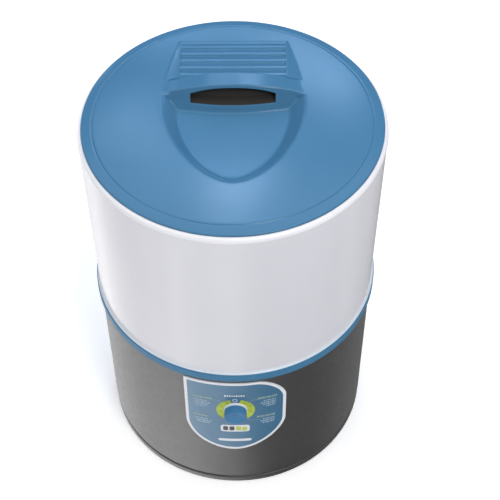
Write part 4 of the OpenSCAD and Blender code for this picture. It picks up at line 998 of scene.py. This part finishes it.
# %% [markdown]
# A label has a heading and three or four lines under it. All are broken into dashes of uneven
# length, upright ones in the headings, so that they read as small print from a distance.
# The dashes of each group are joined into one piece, because they are one pass of print.

# %% Helpers: a row of dashes, and one piece of print
def row(u0, u1, z, height, strokes, gap):
    """Dashes that fill a line from u0 to u1, in the proportions of their strokes."""
    free = (u1 - u0) - gap * (len(strokes) - 1)
    made, u = [], u0
    for stroke in strokes:
        length = free * stroke / sum(strokes)
        made.append((u, u + length, z, height))
        u += length + gap
    return made


def joined(parts):
    """Points and faces of several small meshes as those of one."""
    points, faces, count = [], [], 0
    for part_points, part_faces in parts:
        points.append(part_points)
        faces += [tuple(count + v for v in f) for f in part_faces]
        count += len(part_points)
    return np.concatenate(points), faces


def print_piece(name, dashes, material, lift=0.03, corner=1.0):
    """Joins dashes into one printed piece on the panel."""
    plates = [(dash_plate(*place, lift, corner), dash_faces) for place in dashes]
    points, faces = joined(plates)
    face_outward(mesh_piece(name, points, faces, "cabinet", material))


print("one row has", len(row(0, 40, 300, 4, [2, 1, 3], 1)), "dashes")

# %% [markdown]
# Each label's lines are given as a start, an end and a height on the panel. The right labels
# have their strokes in the opposite order, so that the two sides don't look copied.

# %% Label blocks, in millimetres along and up the panel
heading_strokes = [3, 2, 2, 1, 3, 2, 1, 2, 3, 2, 3]
small_strokes = [2, 3, 1, 4, 2, 3]
heading_rows = []
for u0, u1, z in ((-85, -47, 329), (-85, -58, 262), (45, 83, 329), (43, 80, 262)):
    heading_rows += row(u0, u1, z, 6.4, heading_strokes if u0 < 0 else heading_strokes[::-1], 1.15)
line_rows = []
for u0, u1, z in ((-84, -57, 317.5), (-82, -51, 310.5), (-82, -56, 304), (-81, -62, 297.5),
                  (-84, -57, 251), (-82, -50, 244), (-80, -54, 237.5),
                  (56, 81, 317.5), (50, 81, 310.5), (55, 81, 304), (62, 80, 297.5),
                  (55, 80, 251), (50, 79, 244), (54, 79, 237.5)):
    line_rows += row(u0, u1, z, 3.6, small_strokes if u0 < 0 else small_strokes[::-1], 1.3)
off_row = row(-22, 18, 343, 5.2, [3, 2, 3, 2, 2, 3, 2, 3, 2], 1.5)
print_piece("label_headings", heading_rows, print_pale)
print_piece("label_lines", line_rows, print_mist, corner=0.8)
print_piece("off_label", off_row, print_white, corner=1.4)
print("label dashes", len(heading_rows), len(line_rows), len(off_row))

# %% [markdown]
# The load badge is a pale plate with two dark and two green blocks on it, and the maker's
# place below it holds one plain pale bar. They are dashes too, only larger, and the blocks
# are lifted off the plate by more than its thickness.

# %% Badge and bar
block_lift = 0.16
dark_blocks = [(-26, -16, 223.5, 15), (-13, -3, 223.5, 15)]
lime_blocks = [(0, 11, 223.5, 15), (13, 23, 221.5, 15)]
print_piece("load_badge", [(-31, 28, 223.5, 25)], print_white, corner=6)
print_piece("load_badge_dark", dark_blocks, print_dark, lift=block_lift, corner=3)
print_piece("load_badge_lime", lime_blocks, print_lime, block_lift, 3)
print_piece("plain_bar", [(-37, 32, 178.5, 9)], print_white, corner=4.4)
print("blocks", len(dark_blocks) + len(lime_blocks))

# %% [markdown]
# Thin lines lead from each heading to its end of the scale. A curve object with a bevel could
# draw them, but it would be round and not lie flat on the bent panel. So each is a chain of
# points softened by cutting its corners, and widened into a ribbon that lies on the panel.

# %% Helper: a ribbon on the panel
def ribbon(points, width=0.9, lift=0.05, thick=0.1):
    """Points and faces of a thin ribbon along a line on the panel."""
    line = np.array(points, float)
    for _ in range(3):
        soft = [line[0]]
        for a, b in zip(line[:-1], line[1:]):
            soft += [a * 0.75 + b * 0.25, a * 0.25 + b * 0.75]
        line = np.array(soft + [line[-1]])
    along = np.gradient(line, axis=0)
    side = np.column_stack([-along[:, 1], along[:, 0]]) / np.linalg.norm(along, axis=1)[:, None]
    left, right = line + side * width / 2, line - side * width / 2
    n = len(line)
    made = np.concatenate([bend(edge[:, 0], level, edge[:, 1])
                           for level in (lift + thick, lift) for edge in (left, right)])
    sides = []
    for i in range(n - 1):
        for a, b in ((0, n), (n, 3 * n), (3 * n, 2 * n), (2 * n, 0)):
            sides.append((a + i, a + i + 1, b + i + 1, b + i))
    sides += [(0, n, 3 * n, 2 * n), (n - 1, 3 * n - 1, 4 * n - 1, 2 * n - 1)]
    return made, sides


print("a ribbon of two points has", len(ribbon([(0, 300), (10, 300)])[0]), "points")

# %% Leader lines
leaders = [[(-47, 326), (-40, 326), (-31, 322), (-28, 318)],
           [(45, 326), (38, 326), (31, 322), (28, 318)],
           [(-52, 251), (-40, 251), (-30, 253), (-24, 260)],
           [(50, 251), (38, 251), (30, 253), (24, 260)],
           [(-26, 262), (-17, 254), (0, 250.5), (17, 254), (26, 262)]]
points, faces = joined([ribbon(chain) for chain in leaders])
mesh_piece("leader_lines", points, faces, "cabinet", print_pale)
print("leader lines", len(leaders))

# %% [markdown]
# The rest mark above the scale is a small ring: a torus pressed flat and bent onto the panel.

# %% Rest mark, in millimetres
mark_u, mark_z = -1, 327.5
mark_r, mark_line_r = 4.3, 0.75
mark_lift, mark_press = 0.08, 0.1


def lay_on_panel(piece, u, lift, z):
    """Moves a piece's points to their places on the panel."""
    piece.data.vertices.foreach_set("co", (bend(u, lift, z) * MM).astype(np.float32).ravel())
    piece.data.update()


nothing_selected()
bpy.ops.mesh.primitive_torus_add(major_radius=mark_r, minor_radius=mark_line_r,
                                 major_segments=48, minor_segments=10)
mark = bpy.context.object
mark.name = "rest_mark"
flat = np.array([v.co for v in mark.data.vertices])
lay_on_panel(mark, flat[:, 0] + mark_u, mark_lift + mark_press * flat[:, 2], mark_z + flat[:, 1])
mark.data.materials.append(print_white)
bpy.ops.object.shade_smooth()
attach(mark, "cabinet")
print("rest mark", len(mark.data.vertices), "points")

# %% [markdown]
# Plain numbers stand on the green scale. Text objects are turned into meshes while they are
# still flat, then laid on the curve of the panel. The scale is two crescents: its outer circle
# has its middle a little below the knob's, and each number stands halfway across.

# %% Numbers on the scale
number_places = [(38, "3"), (72, "6"), (106, "9"), (254, "12"), (288, "15"), (322, "18")]
number_size = 8.0
number_half_thick = 0.05
number_lift = 0.5
scale_inner_r = 23.7
scale_outer_r = 38.5
scale_drop = 4
numbers = []
for angle, label in number_places:
    nothing_selected()
    bpy.ops.object.text_add(location=(0, 0, 0))
    digit = bpy.context.object
    digit.data.body = label
    digit.data.size = number_size
    digit.data.align_x = "CENTER"
    digit.data.align_y = "CENTER"
    digit.data.extrude = number_half_thick
    bpy.ops.object.convert(target="MESH")
    digit = bpy.context.object
    a = math.radians(angle)
    off_middle = scale_drop ** 2 * math.sin(a) ** 2
    reach = -scale_drop * math.cos(a) + math.sqrt(scale_outer_r ** 2 - off_middle)
    middle = (scale_inner_r + reach) / 2
    flat = np.array([v.co for v in digit.data.vertices])
    u = flat[:, 0] + middle * math.sin(a)
    z = flat[:, 1] + knob_z + middle * math.cos(a)
    lay_on_panel(digit, u, number_lift + flat[:, 2], z)
    numbers.append(digit)
nothing_selected()
for digit in numbers:
    digit.select_set(True)
bpy.context.view_layer.objects.active = numbers[0]
bpy.ops.object.join()
dial_numbers = bpy.context.object
dial_numbers.name = "dial_numbers"
dial_numbers.data.materials.clear()
dial_numbers.data.materials.append(print_leaf)
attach(dial_numbers, "cabinet")
print("numbers", len(number_places))
